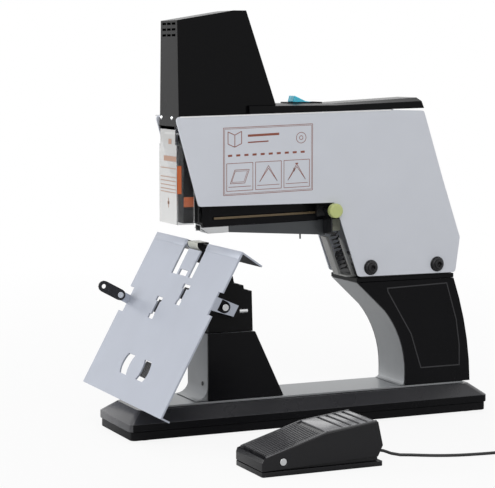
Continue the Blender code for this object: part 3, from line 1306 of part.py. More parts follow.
def build_slider(arm, looks):
    """Depth slider with its tongue in the rail's slot, its stop and its knob."""
    outer = -RAIL_HALF - GAP
    origin = (-SLIDER_X, outer, SLOT_Z)
    half = SLIDER_LENGTH / 2
    slider = box("depth_slider", (-SLIDER_X - half, outer - SLIDER_THICK, -SLIDER_BELOW),
                 (-SLIDER_X + half, outer, SLIDER_ABOVE), looks["dark"], arm, origin)
    tongue = half - GAP * 5
    rise = SLOT_HEIGHT / 2 - GAP
    join(slider, box("slider_tongue", (-SLIDER_X - tongue, outer - GAP, SLOT_Z - rise),
                     (-SLIDER_X + tongue, outer + SLOT_DEPTH - GAP, SLOT_Z + rise), None, arm))
    stop = [(-SLIDER_X, GAP - SLIDER_BELOW), (-SLIDER_X, -STOP_BELOW), (STOP_LIP - SLIDER_X, -STOP_BELOW)]
    stop += [(STOP_LIP - SLIDER_X, STOP_THICK - STOP_BELOW)]
    stop += [(STOP_THICK - SLIDER_X, STOP_THICK - STOP_BELOW)]
    stop += [(STOP_THICK - SLIDER_X, GAP - SLIDER_BELOW)]
    join(slider, slab("depth_stop", stop, side, outer - STOP_REACH, outer, None, arm))
    cut(slider, rod("knob_bore", (-SLIDER_X, outer - SLIDER_THICK - OVERRUN, KNOB_Z), (0, 1, 0),
                    KNOB_SHAFT + GAP, OVERRUN + SLIDER_THICK / 2, None, arm, 12))
    end = outer - SLIDER_THICK / 2 - GAP
    face = -PLATE_OUTER - KNOB_GAP
    inner = end - face
    profile = [(0, KNOB_SHAFT), (inner, KNOB_SHAFT), (inner, KNOB_RADIUS - KNOB_CHAMFER)]
    profile += [(inner + KNOB_CHAMFER, KNOB_RADIUS), (inner + KNOB_LENGTH - KNOB_CHAMFER, KNOB_RADIUS)]
    profile += [(inner + KNOB_LENGTH, KNOB_RADIUS - KNOB_CHAMFER)]
    turned("depth_knob", profile, (-SLIDER_X, end, KNOB_Z), (0, -1, 0), 24, looks["lime"], arm,
           (-SLIDER_X, end, KNOB_Z))


def arm_point(x, z):
    """Point in the arm's own frame of a side view point of the machine."""
    run, rise = x - PIVOT_X, z - PIVOT_Z
    turn_cos, turn_sin = math.cos(ARM_TILT), math.sin(ARM_TILT)
    return (run * turn_cos + rise * turn_sin, rise * turn_cos - run * turn_sin)


def spring_top():
    """Side view point at the top of the return spring's axis."""
    low = LEDGE_TOP + GAP + BRACKET_THICK
    height = SEAT_Z - low
    return (SPRING_X - height * math.tan(SPRING_LEAN), SEAT_Z)


def build_spring(parent, arm, looks):
    """Return spring between its bracket on the ledge and its seat on the arm."""
    seat_x, seat_z = arm_point(*spring_top())
    start = seat_x - SEAT_LENGTH / 2
    top = -RAIL_BELOW - GAP
    box("spring_seat", (start, -SEAT_HALF, seat_z), (start + SEAT_LENGTH, SEAT_HALF, top),
        looks["silver"], arm)
    low = LEDGE_TOP + GAP
    foot = box("spring_bracket", (BRACKET_FOOT_FRONT, -BRACKET_NEAR_OUT, low),
               (BRACKET_FOOT_FRONT + BRACKET_FOOT_LENGTH, BRACKET_FAR_OUT, low + BRACKET_THICK),
               looks["silver"], parent)
    run = BRACKET_HEIGHT * math.tan(BRACKET_LEAN)
    for name, back, near, far in (("strip_far", 0, BRACKET_FAR_IN, BRACKET_FAR_OUT),
                                  ("strip_near", BRACKET_NEAR_BACK, -BRACKET_NEAR_OUT, -BRACKET_NEAR_IN)):
        start = BRACKET_FOOT_FRONT + back
        strip = [(start + BRACKET_THICK * 2, low), (start, low), (start - run, low + BRACKET_HEIGHT)]
        strip += [(start - run + BRACKET_THICK * 2, low + BRACKET_HEIGHT)]
        join(foot, slab(name, strip, side, near, far, None, parent))
    tilt_rise = (SPRING_RADIUS + SPRING_WIRE / 2) * math.sin(SPRING_LEAN)
    margin = GAP + SPRING_WIRE / 2 + tilt_rise
    bottom = low + BRACKET_THICK + margin
    height = SEAT_Z - margin - bottom
    lean = math.tan(SPRING_LEAN)
    points = []
    for step in range(SPRING_TURNS * SPRING_POINTS + 1):
        share = step / (SPRING_TURNS * SPRING_POINTS)
        angle = math.tau * step / SPRING_POINTS
        across = SPRING_RADIUS * math.cos(angle)
        x = SPRING_X - lean * (margin + height * share) + across * math.cos(SPRING_LEAN)
        z = bottom + height * share + across * math.sin(SPRING_LEAN)
        points.append((x, SPRING_RADIUS * math.sin(angle), z))
    print("return spring turn gap", least_gap(points, SPRING_WIRE, SPRING_POINTS))
    tube("return_spring", points, SPRING_WIRE, 1, looks["spring"], parent)


def least_gap(points, diameter, per_turn):
    """Least distance between the surfaces of turns of a wound tube."""
    least = None
    for index, point in enumerate(points):
        for other in points[index + per_turn // 2:]:
            gap = (Vector(point) - Vector(other)).length - diameter
            least = gap if least is None else min(least, gap)
    return round(least, 6)


def tube(name, points, diameter, resolution, finish, parent):
    """A round tube along points, closed at both ends."""
    curve = bpy.data.curves.new(name, "CURVE")
    curve.dimensions = "3D"
    curve.bevel_depth = diameter / 2
    curve.bevel_resolution = resolution
    curve.use_fill_caps = True
    spline = curve.splines.new("POLY")
    spline.points.add(len(points) - 1)
    for target, point in zip(spline.points, points):
        target.co = (*point, 1.0)
    curve.materials.append(finish)
    item = bpy.data.objects.new(name, curve)
    bpy.context.collection.objects.link(item)
    item.parent = parent
    return item


def pedal_outline(inset, low):
    """Side view of the treadle, drawn in by a wall."""
    rear = PEDAL_FRONT + PEDAL_LENGTH
    edge = PEDAL_EDGE if low is None else low
    rear_edge = PEDAL_EDGE + PEDAL_TRAVEL_GAP if low is None else low
    outline = [(PEDAL_FRONT + inset, edge), (PEDAL_FRONT + inset, PEDAL_TOE - PEDAL_TOE_BEVEL)]
    outline += [(PEDAL_FRONT + PEDAL_TOE_BEVEL / 2 + inset, PEDAL_TOE - inset / 2)]
    outline += [(PEDAL_FRONT + PEDAL_LENGTH * PEDAL_BROW_SHARE, PEDAL_BROW - inset)]
    outline += [(rear - PEDAL_REAR_SLANT - inset, PEDAL_CREST - inset)]
    return outline + [(rear - inset, PEDAL_REAR_NOTCH), (rear - PEDAL_REAR_SLANT - inset, rear_edge)]


def build_pedal(parent, looks):
    """Pedal base with its lugs, the treadle on its pin and the switch inside."""
    y_near, y_far = PEDAL_Y - PEDAL_HALF, PEDAL_Y + PEDAL_HALF
    rear = PEDAL_FRONT + PEDAL_LENGTH
    outline = rounded(rectangle(PEDAL_FRONT, y_near, rear, y_far), PEDAL_WALL)
    base = slab("pedal_base", outline, above, 0, PEDAL_BASE, looks["black"], parent)
    reach = PEDAL_PIN_RADIUS + PEDAL_WALL
    for sign in (-1, 1):
        outer = PEDAL_LUG_INNER + PEDAL_LUG_THICK
        low, high = sorted((PEDAL_Y + sign * PEDAL_LUG_INNER, PEDAL_Y + sign * outer))
        lug = arc((PEDAL_PIN_X, PEDAL_PIN_Z), PEDAL_PIN_RADIUS + PEDAL_WALL / 2, 0, math.pi, 8)
        lug += [(PEDAL_PIN_X - reach, PEDAL_BASE / 2), (PEDAL_PIN_X + reach, PEDAL_BASE / 2)]
        join(base, slab("pedal_lug", lug, side, low, high, None, parent))
    join(base, box("pedal_rear_wall", (REAR_WALL_X, PEDAL_Y - MICRO_HALF * 2, PEDAL_BASE / 2),
                   (REAR_WALL_X + REAR_WALL_THICK, PEDAL_Y + MICRO_HALF * 2, REAR_WALL_TOP), None, parent))
    cut(base, rod("pin_bore", (PEDAL_PIN_X, y_near - OVERRUN, PEDAL_PIN_Z), (0, 1, 0),
                  PEDAL_PIN_RADIUS + GAP, PEDAL_HALF * 2 + OVERRUN * 2, None, parent))
    rod("pedal_pin", (PEDAL_PIN_X, y_near, PEDAL_PIN_Z), (0, 1, 0), PEDAL_PIN_RADIUS,
        PEDAL_HALF * 2, looks["silver"], parent)
    hinge = (PEDAL_PIN_X, PEDAL_Y, PEDAL_PIN_Z)
    treadle = slab("pedal_treadle", pedal_outline(0, None), side, y_near, y_far, looks["pedal"],
                   parent, hinge)
    cut(treadle, slab("treadle_inside", pedal_outline(PEDAL_WALL, -OVERRUN), side, y_near + PEDAL_WALL,
                      y_far - PEDAL_WALL, None, parent))
    cut(treadle, rod("treadle_bore", (PEDAL_PIN_X, y_near - OVERRUN, PEDAL_PIN_Z), (0, 1, 0),
                     PEDAL_PIN_RADIUS + GAP, PEDAL_HALF * 2 + OVERRUN * 2, None, parent))
    cut(treadle, box("treadle_rear", (rear - OVERRUN * 3, y_near + PEDAL_WALL, -OVERRUN),
                     (rear + OVERRUN, y_far - PEDAL_WALL, PEDAL_REAR_NOTCH), None, parent))
    low = PEDAL_BASE + GAP
    top = low + MICRO_HEIGHT
    micro = box("pedal_switch", (MICRO_X, PEDAL_Y - MICRO_HALF, low),
                (MICRO_X + MICRO_LENGTH, PEDAL_Y + MICRO_HALF, top), looks["dark"], parent)
    centre = (MICRO_X + MICRO_LENGTH / 2, PEDAL_Y, top - GAP)
    join(micro, rod("switch_button", centre, (0, 0, 1), MICRO_HALF / 2, MICRO_BUTTON, None, parent, 10))
    build_relief(parent, looks, base)


def build_relief(parent, looks, base):
    """Tapered strain relief that holds the cord in the pedal's rear wall."""
    start = (CORD_EXIT_X - GAP - RELIEF_LENGTH, PEDAL_Y, CORD_EXIT_Z)
    profile = [(0, RELIEF_BIG), (RELIEF_LENGTH / 2, RELIEF_BIG), (RELIEF_LENGTH, RELIEF_SMALL)]
    turned("strain_relief", profile, start, (1, 0, 0), 14, looks["rubber"], parent)
    cut(base, rod("relief_bore", (REAR_WALL_X - OVERRUN, PEDAL_Y, CORD_EXIT_Z), (1, 0, 0), RELIEF_BIG + GAP,
                  OVERRUN * 2 + REAR_WALL_THICK, None, parent, 14))


def cord_route():
    """Hand-chosen points of the cord from the pedal to its coil."""
    straight = CORD_DIAMETER
    end_y = COIL_Y - COIL_MEAN - coil_swing()
    points = [(CORD_EXIT_X, PEDAL_Y, CORD_EXIT_Z), (CORD_EXIT_X + straight, PEDAL_Y, CORD_EXIT_Z)]
    points += [(0.1735, -0.1764, 0.0058), (0.1805, -0.1767, 0.0030), (0.1880, -0.1785, CORD_FLOOR)]
    points += [(0.1960, -0.1825, CORD_FLOOR), (0.2041, -0.1876, CORD_FLOOR), (0.2150, -0.1935, CORD_FLOOR)]
    points += [(0.2300, -0.1990, CORD_FLOOR), (0.2500, -0.2025, CORD_FLOOR), (0.2750, -0.2045, CORD_FLOOR)]
    points += [(0.2980, end_y, CORD_FLOOR), (COIL_X - straight * 2 - GAP, end_y, CORD_FLOOR)]
    return points + [(COIL_X - straight - GAP, end_y, CORD_FLOOR)]


def smooth_path(points, step):
    """Points about one step apart on a smooth curve through chosen points."""
    path = [Vector(points[0])]
    count = len(points)
    for index in range(count - 1):
        before = Vector(points[max(index - 1, 0)])
        start, end = Vector(points[index]), Vector(points[index + 1])
        after = Vector(points[min(index + 2, count - 1)])
        pieces = max(1, round((end - start).length / step))
        for piece in range(1, pieces + 1):
            t = piece / pieces
            bend = (end - before) * t + (before * 2 - start * 5 + end * 4 - after) * t ** 2
            bend += (start * 3 - before - end * 3 + after) * t ** 3
            path.append(start + bend / 2)
    return path


def coil_swing():
    """Half the width of the coil's band of turns."""
    return COIL_PITCH * COIL_TURNS / COIL_LAYERS / 2


def coil_path():
    """Centre line of the coil, spiralling in and out in layers, and its ramp."""
    layer_turns = COIL_TURNS / COIL_LAYERS
    points = [Vector((COIL_X - CORD_DIAMETER, COIL_Y - COIL_MEAN - coil_swing(), CORD_FLOOR))]
    for step in range(round(COIL_TURNS * COIL_POINTS) + 1):
        turns = step / COIL_POINTS
        wave = abs((turns / layer_turns) % 2 - 1) * 2 - 1
        radius = COIL_MEAN + coil_swing() * wave
        angle = math.tau * turns - math.pi / 2
        height = CORD_FLOOR + COIL_CLIMB * layers_climbed(turns, layer_turns)
        x = COIL_X + radius * math.cos(angle)
        points.append(Vector((x, COIL_Y + radius * math.sin(angle), height)))
    last = points[-1]
    drop = last.z - PLUG_RADIUS
    for step in range(1, RAMP_POINTS + 1):
        share = step / RAMP_POINTS
        falling = max(share - RAMP_LEVEL_SHARE, 0) / (1 - RAMP_LEVEL_SHARE)
        fall = drop * (1 - math.cos(math.pi * falling)) / 2
        points.append(last + Vector((0, RAMP_LENGTH * share, -fall)))
    points.append(points[-1] + Vector((0, CORD_DIAMETER, 0)))
    return points


def layers_climbed(turns, layer_turns):
    """How many layers the coil has climbed after a number of turns."""
    climbed = 0
    for index in range(1, COIL_LAYERS):
        share = (turns - index * layer_turns) * 2 + 0.5
        climbed += (1 - math.cos(math.pi * min(max(share, 0), 1))) / 2
    return climbed


def build_cord(parent, looks):
    """The pedal's cord, its coil put away beside the machine and its plug."""
    route = smooth_path(cord_route(), CORD_STEP)
    tube("pedal_cord", route, CORD_DIAMETER, 2, looks["rubber"], parent)
    coil = coil_path()
    print("cord coil gap", least_gap(coil, CORD_DIAMETER, COIL_POINTS))
    length = sum((b - a).length for path in (route, coil) for a, b in zip(path, path[1:]))
    print("cord length", round(length, 4), "route points", len(route))
    tube("cord_coil", coil, CORD_DIAMETER, 1, looks["rubber"], parent)
    end = coil[-1] + Vector((0, GAP, 0))
    profile = [(0, CORD_DIAMETER), (PLUG_RADIUS, PLUG_RADIUS - GAP), (PLUG_LENGTH, PLUG_RADIUS - GAP)]
    profile += [(PLUG_LENGTH, PLUG_TIP_RADIUS)]
    profile += [(PLUG_LENGTH + PLUG_TIP_LENGTH - PLUG_TIP_RADIUS, PLUG_TIP_RADIUS)]
    profile += [(PLUG_LENGTH + PLUG_TIP_LENGTH, PLUG_TIP_RADIUS / 3)]
    turned("pedal_plug", profile, end, (0, 1, 0), 16, looks["black"], parent)


def make_looks():
    """Every finish of the product, from its photograph."""
    return {
        "black": look("black satin plastic", (0.018, 0.018, 0.020), 0.42),
        "dark": look("black oxide steel", (0.030, 0.030, 0.033), 0.40, 0.6),
        "plate": look("base plate steel", (0.025, 0.025, 0.027), 0.6, 0.3),
        "pedal": look("pedal plastic", (0.045, 0.046, 0.050), 0.38),
        "rubber": look("rubber", (0.012, 0.012, 0.013), 0.7),
        "grey": look("grey aluminium", (0.36, 0.38, 0.40), 0.38, 0.7),
        "mid": look("magazine steel", (0.20, 0.215, 0.225), 0.35, 0.7),
        "paint": look("light blue grey paint", (0.62, 0.655, 0.70), 0.45),
        "sheet": look("light grey sheet", (0.58, 0.61, 0.66), 0.42, 0.2),
        "silver": look("bright steel", (0.66, 0.68, 0.70), 0.25, 0.9),
        "steel": look("plated steel", (0.42, 0.43, 0.44), 0.40, 0.8),
        "spring": look("spring wire", (0.10, 0.10, 0.105), 0.35, 0.8),
        "clear": look("clear plastic", (0.90, 0.93, 0.95), 0.10, 0.0, 0.3),
        "lime": look("lime green plastic", (0.66, 0.80, 0.28), 0.40),
        "cyan": look("cyan rocker plastic", (0.06, 0.52, 0.70), 0.30),
        "copper": look("wound copper", (0.55, 0.25, 0.12), 0.40, 0.6),
        "board": look("circuit board", (0.05, 0.22, 0.10), 0.50),
    }


def empty(name, location, parent=None):
    """An empty that carries a group of pieces."""
    item = bpy.data.objects.new(name, None)
    bpy.context.collection.objects.link(item)
    item.parent = parent
    item.location = location
    return item


def build():
    """Build the machine, its pedal and the pedal's cord."""
    clear_scene()
    looks = make_looks()
    machine = empty("machine", (MACHINE_X, MACHINE_Y, 0))
    build_base(machine, looks)
    build_strip(machine, looks)
    build_column(machine, looks)
    rear = build_stand(machine, looks)
    build_sockets(machine, looks, rear)
    build_anvil(machine, looks)
    build_table(machine, looks)
    build_side_plates(machine, looks)
    build_mount(machine, looks)
    build_bridge(machine, looks)
    build_cover(machine, looks)
    build_guard(machine, looks)
    build_switch(machine, looks)
    build_solenoid(machine, looks)
    build_driver(machine, looks)
    build_board(machine, looks)
    arm = empty("arm", (PIVOT_X, 0, PIVOT_Z), machine)
    arm.rotation_euler.y = -ARM_TILT
    build_rail(arm, looks)
    build_magazine(arm, looks)
    build_slider(arm, looks)
    build_spring(machine, arm, looks)
    build_pedal(machine, looks)
    build_cord(machine, looks)


if __name__ == "__main__":
    build()
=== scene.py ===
"""Electric saddle stapler with its foot pedal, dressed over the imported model."""
import json
import logging
import math
from collections.abc import Callable
from dataclasses import dataclass, field
from enum import Enum
from functools import partial

import bmesh
import bpy
from mathutils import Matrix, Vector


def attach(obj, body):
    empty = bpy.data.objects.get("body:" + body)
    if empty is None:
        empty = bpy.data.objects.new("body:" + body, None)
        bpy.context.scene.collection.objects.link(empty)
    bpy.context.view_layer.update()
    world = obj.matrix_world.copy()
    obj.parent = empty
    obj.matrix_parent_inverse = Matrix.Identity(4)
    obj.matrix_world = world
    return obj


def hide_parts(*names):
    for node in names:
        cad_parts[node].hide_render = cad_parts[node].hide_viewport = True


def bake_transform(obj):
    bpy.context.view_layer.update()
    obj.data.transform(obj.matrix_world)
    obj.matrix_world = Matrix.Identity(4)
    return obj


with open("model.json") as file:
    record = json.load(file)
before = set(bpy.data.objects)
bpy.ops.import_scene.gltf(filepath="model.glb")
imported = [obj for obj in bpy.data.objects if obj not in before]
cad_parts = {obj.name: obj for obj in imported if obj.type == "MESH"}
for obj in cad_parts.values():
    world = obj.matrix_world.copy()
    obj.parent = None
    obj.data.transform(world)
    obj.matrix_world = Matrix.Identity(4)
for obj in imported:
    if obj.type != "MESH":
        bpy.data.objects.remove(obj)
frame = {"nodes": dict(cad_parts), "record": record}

log = logging.getLogger("stapler")

Pair = tuple[float, float]
Triple = tuple[float, float, float]
Shape = bmesh.types.BMesh
Tree = bpy.types.NodeTree
Socket = bpy.types.NodeSocket
Face = bpy.types.MeshPolygon
Item = bpy.types.Object
MACHINE = Vector((-0.179, 0.0525, 0.0))
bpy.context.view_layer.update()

PIECE_CREASE = math.radians(32)
NODE_CREASE = math.radians(28)
SHARP_EDGE = math.radians(25)
HAIR = 0.0002
FLAT_ANGLE = math.radians(0.6)
SAME_VERTEX = 0.00002
SAME_TURNED_VERTEX = 0.000002
CLEAR_IOR = 1.12
DRIFT_SCALE = 38.0
DRIFT_DETAIL = 4.0
DRIFT_STOP = 0.22
GLOSS_DRIFT = 0.14
HEIGHT_SHARE = 0.25
WAVE_SHARE = 0.05
EVEN: Triple = (1.0, 1.0, 1.0)
BRUSH_STREAKS: Triple = (0.03, 0.6, 1.0)


class Surface(Enum):
    """How the fine surface of a finish is worked."""

    MOULDED = "moulded"
    SPRAYED = "sprayed"
    BRUSHED = "brushed"
    WOUND = "wound"
    ETCHED = "etched"


GRAINS = {Surface.MOULDED: (EVEN, 3.0), Surface.SPRAYED: (EVEN, 1.0), Surface.BRUSHED: (BRUSH_STREAKS, 2.0)}


def fill(tree: Tree, node: bpy.types.Node, inputs: dict) -> None:
    """Set or link inputs of a shader node.

    Args:
        tree: node tree that holds it.
        node: the node.
        inputs: a value or a socket for each input's name or number.
    """
    for name, value in inputs.items():
        if isinstance(value, Socket):
            tree.links.new(value, node.inputs[name])
        else:
            node.inputs[name].default_value = value


def add(tree: Tree, kind: str, inputs: dict) -> bpy.types.Node:
    """Add a shader node to a tree.

    Args:
        tree: the tree.
        kind: the node's type, without its prefix.
        inputs: a value or a socket for each input's name or number.

    Returns:
        The new node.
    """
    made = tree.nodes.new("ShaderNode" + kind)
    fill(tree, made, inputs)
    return made


def of_type(tree: Tree, kind: str) -> bpy.types.Node:
    """Return the first node of a type."""
    return next(node for node in tree.nodes if node.type == kind)


def link(name: str, data: bpy.types.ID) -> Item:
    """Put a new object in the scene.

    Args:
        name: its name.
        data: its mesh, curve, camera or lamp.

    Returns:
        The object.
    """
    item = bpy.data.objects.new(name, data)
    bpy.context.scene.collection.objects.link(item)
    return item


@dataclass(frozen=True)
class Finish:
    """One finish of the product: its colour, its gloss and its fine surface."""

    name: str
    colour: Triple
    roughness: float
    metallic: float = 0.0
    surface: Surface = Surface.MOULDED
    grain: float = 0.0008
    depth: float = 0.25
    spread: float = 0.06
    clear: float = 0.0
    coat: float = 0.0
    shine: float = 0.5

    def material(self) -> bpy.types.Material:
        """Return this finish's material, made on the first call.

        Returns:
            The node material, shared by all the pieces that carry the finish.
        """
        found = bpy.data.materials.get(self.name)
        if found and found.get("dressed"):
            return found
        made = bpy.data.materials.new(self.name)
        made["dressed"] = True
        made.use_nodes = True
        made.diffuse_color = (*self.colour, 1.0)
        tree = made.node_tree
        shader = of_type(tree, "BSDF_PRINCIPLED")
        fill(tree, shader, {"Metallic": self.metallic, "Roughness": self.roughness, "Coat Weight": self.coat,
                            "Specular IOR Level": self.shine, "Base Color": (*self.colour, 1.0)})
        if self.clear:
            fill(tree, shader, {"Transmission Weight": self.clear, "IOR": CLEAR_IOR})
        self.shade(tree, shader)
        return made

    def shade(self, tree: Tree, shader: bpy.types.Node) -> None:
        """Add the colour drift, the roughness drift and the fine relief.

        Args:
            tree: node tree of the material.
            shader: its Principled shader.
        """
        place = add(tree, "TexCoord", {}).outputs["Object"]
        drift = self.noise(tree, place, EVEN, DRIFT_SCALE, DRIFT_DETAIL)
        ramp = add(tree, "ValToRGB", {"Fac": drift})
        for stop, sign in zip(ramp.color_ramp.elements, (-1, 1)):
            shade = [min(max(part * (1 + sign * self.spread), 0.0), 1.0) for part in self.colour]
            stop.position = 0.5 + sign * DRIFT_STOP
            stop.color = (*shade, 1.0)
        gloss = add(tree, "MapRange", {"Value": drift, "To Min": self.roughness * (1 - GLOSS_DRIFT),
                                       "To Max": min(self.roughness * (1 + GLOSS_DRIFT), 1.0)})
        bump = add(tree, "Bump", {"Strength": self.depth, "Distance": self.grain * HEIGHT_SHARE,
                                  "Height": self.relief(tree, place)})
        fill(tree, shader, {"Base Color": ramp.outputs["Color"], "Roughness": gloss.outputs["Result"],
                            "Normal": bump.outputs["Normal"]})

    def relief(self, tree: Tree, place: Socket) -> Socket:
        """Return the height of the fine surface.

        Args:
            tree: node tree of the material.
            place: Object coordinates.

        Returns:
            The socket that carries the height.
        """
        pitch = 1.0 / self.grain
        if self.surface in GRAINS:
            stretch, detail = GRAINS[self.surface]
            return self.noise(tree, place, stretch, pitch, detail)
        if self.surface is Surface.WOUND:
            wave = add(tree, "TexWave", {"Scale": pitch * WAVE_SHARE, "Vector": place})
            wave.bands_direction = "Z"
            return wave.outputs["Fac"]
        cells = add(tree, "TexVoronoi", {"Scale": pitch, "Vector": place})
        cells.distance = "MANHATTAN"
        return cells.outputs["Distance"]

    def noise(self, tree: Tree, place: Socket, stretch: Triple, scale: float, detail: float) -> Socket:
        """Return a noise on Object coordinates."""
        drawn = add(tree, "Mapping", {"Scale": stretch, "Vector": place}).outputs["Vector"]
        return add(tree, "TexNoise", {"Scale": scale, "Detail": detail, "Vector": drawn}).outputs["Fac"]


METAL = partial(Finish, surface=Surface.BRUSHED, depth=0.12)

BLACK = Finish("satin black moulding", (0.0035, 0.0035, 0.0045), 0.26, shine=0.12)
COVER = Finish("head cover black", (0.0015, 0.0015, 0.002), 0.26, shine=0.11)
# Painted sheen: a lighter grey on the base cover's tops, rear slopes and fronts stands in for the bright
# surroundings reflected there.
COVER_SHEEN = Finish("base cover painted sheen", (0.060, 0.060, 0.066), 0.24, shine=0.5)
# Painted sheen: a mid grey on the base cover's near slope.
COVER_SLOPE_SHEEN = Finish("base cover slope painted sheen", (0.026, 0.026, 0.030), 0.28, shine=0.3)
BLOCK_BLACK = Finish("block black", (0.004, 0.004, 0.0045), 0.40, shine=0.12)
# Painted highlight: a lighter grey on the stand covers' raised border.
BORDER_HIGHLIGHT = Finish("raised border painted highlight", (0.028, 0.028, 0.031), 0.24, shine=0.4)
PEDAL_GREY = Finish("pedal moulding", (0.005, 0.005, 0.0065), 0.24, shine=0.35)
# Painted sheen: a lighter grey on the treadle's fine ribs and rim.
PEDAL_GRIP_SHEEN = Finish("pedal grip painted sheen", (0.060, 0.060, 0.065), 0.24, shine=0.9)
# Painted reflection: a light grey on the treadle's cross ribs stands in for the bright surroundings reflected
# there.
PEDAL_BAND_REFLECTION = Finish("grip band painted reflection", (0.28, 0.28, 0.29), 0.20, shine=1.0)
BASE_STEEL = Finish("base plate enamel", (0.004, 0.004, 0.005), 0.40, surface=Surface.SPRAYED, shine=0.12)
PAINT = Finish("pale grey enamel", (0.70, 0.725, 0.785), 0.42, surface=Surface.SPRAYED, depth=0.10,
               spread=0.012)
SHEET = Finish("table enamel", (0.428, 0.458, 0.530), 0.36, 0.1, Surface.SPRAYED, depth=0.1, spread=0.02)
# Painted shade: a dark grey on the table flap's underside.
SHEET_UNDERSIDE_SHADE = METAL("bare sheet underside", (0.10, 0.103, 0.11), 0.40, 0.6)
ALUMINIUM = METAL("frame aluminium", (0.29, 0.30, 0.31), 0.36, 0.8)
STEEL = Finish("bright steel", (0.68, 0.69, 0.70), 0.22, 1.0, Surface.BRUSHED, depth=0.08)
PLATED = METAL("plated steel", (0.44, 0.45, 0.46), 0.36, 0.9)
BRACKET = METAL("bracket steel", (0.34, 0.345, 0.34), 0.34, 0.5)
# Painted shade: a darker copy of the bracket steel for the bracket's front faces.
BRACKET_SHADE = METAL("bracket edge", (0.30, 0.30, 0.29), 0.34, 0.4)
OLIVE = METAL("seat bracket steel", (0.62, 0.63, 0.50), 0.38, 0.3)
ANVIL = METAL("anvil steel", (0.52, 0.53, 0.47), 0.34, 0.5)
MAGAZINE = METAL("magazine steel", (0.075, 0.08, 0.085), 0.34, 0.6)
OXIDE = Finish("black oxide steel", (0.016, 0.016, 0.018), 0.26, 0.3, Surface.SPRAYED, depth=0.12)
SPRING = Finish("spring wire", (0.012, 0.012, 0.012), 0.2, 0.2, Surface.BRUSHED, shine=0.6)
RUBBER = Finish("cord rubber", (0.008, 0.008, 0.009), 0.50)
FEET = Finish("foot rubber", (0.012, 0.012, 0.013), 0.75)
LIME = Finish("lime knob", (0.56, 0.62, 0.245), 0.40, spread=0.03)
CYAN = Finish("cyan rocker", (0.05, 0.68, 0.92), 0.20, spread=0.05, coat=0.4)
ORANGE = Finish("orange band", (0.60, 0.13, 0.03), 0.40, spread=0.04)
# Painted highlight: a tan strip in the rail's slot stands in for the highlight on the slot's lower lip.
SLOT_HIGHLIGHT = Finish("slot lip painted highlight", (0.17, 0.125, 0.07), 0.38, 0.4, Surface.BRUSHED)
COPPER = Finish("wound copper", (0.50, 0.20, 0.09), 0.35, 0.8, Surface.WOUND, depth=0.6)
BOARD = Finish("circuit board", (0.03, 0.16, 0.07), 0.42, 0.0, Surface.ETCHED, 0.004, 0.4)
PRINT = Finish("maroon print", (0.27, 0.075, 0.045), 0.5, spread=0.03)
FAINT_PRINT = Finish("faint print", (0.42, 0.25, 0.18), 0.5, spread=0.03)
FROST = Finish("clouded front", (0.93, 0.93, 0.92), 0.10, clear=0.42, depth=0.0, spread=0.0, shine=0.4)
# Painted highlight: a near-white strip along each side plate's top edge.
PLATE_EDGE_HIGHLIGHT = Finish("plate edge painted highlight", (0.95, 0.96, 0.98), 0.30, surface=Surface.SPRAYED, depth=0.1)
CLEAR = Finish("clear plastic", (0.96, 0.965, 0.97), 0.03, clear=0.985, depth=0.0, spread=0.0, shine=0.3)


@dataclass(frozen=True)
class Edge:
    """How a node's edges are broken, and how its faces are shaded."""

    width: float
    segments: int = 2
    crease: float = NODE_CREASE


FINE = Edge(0.0003)


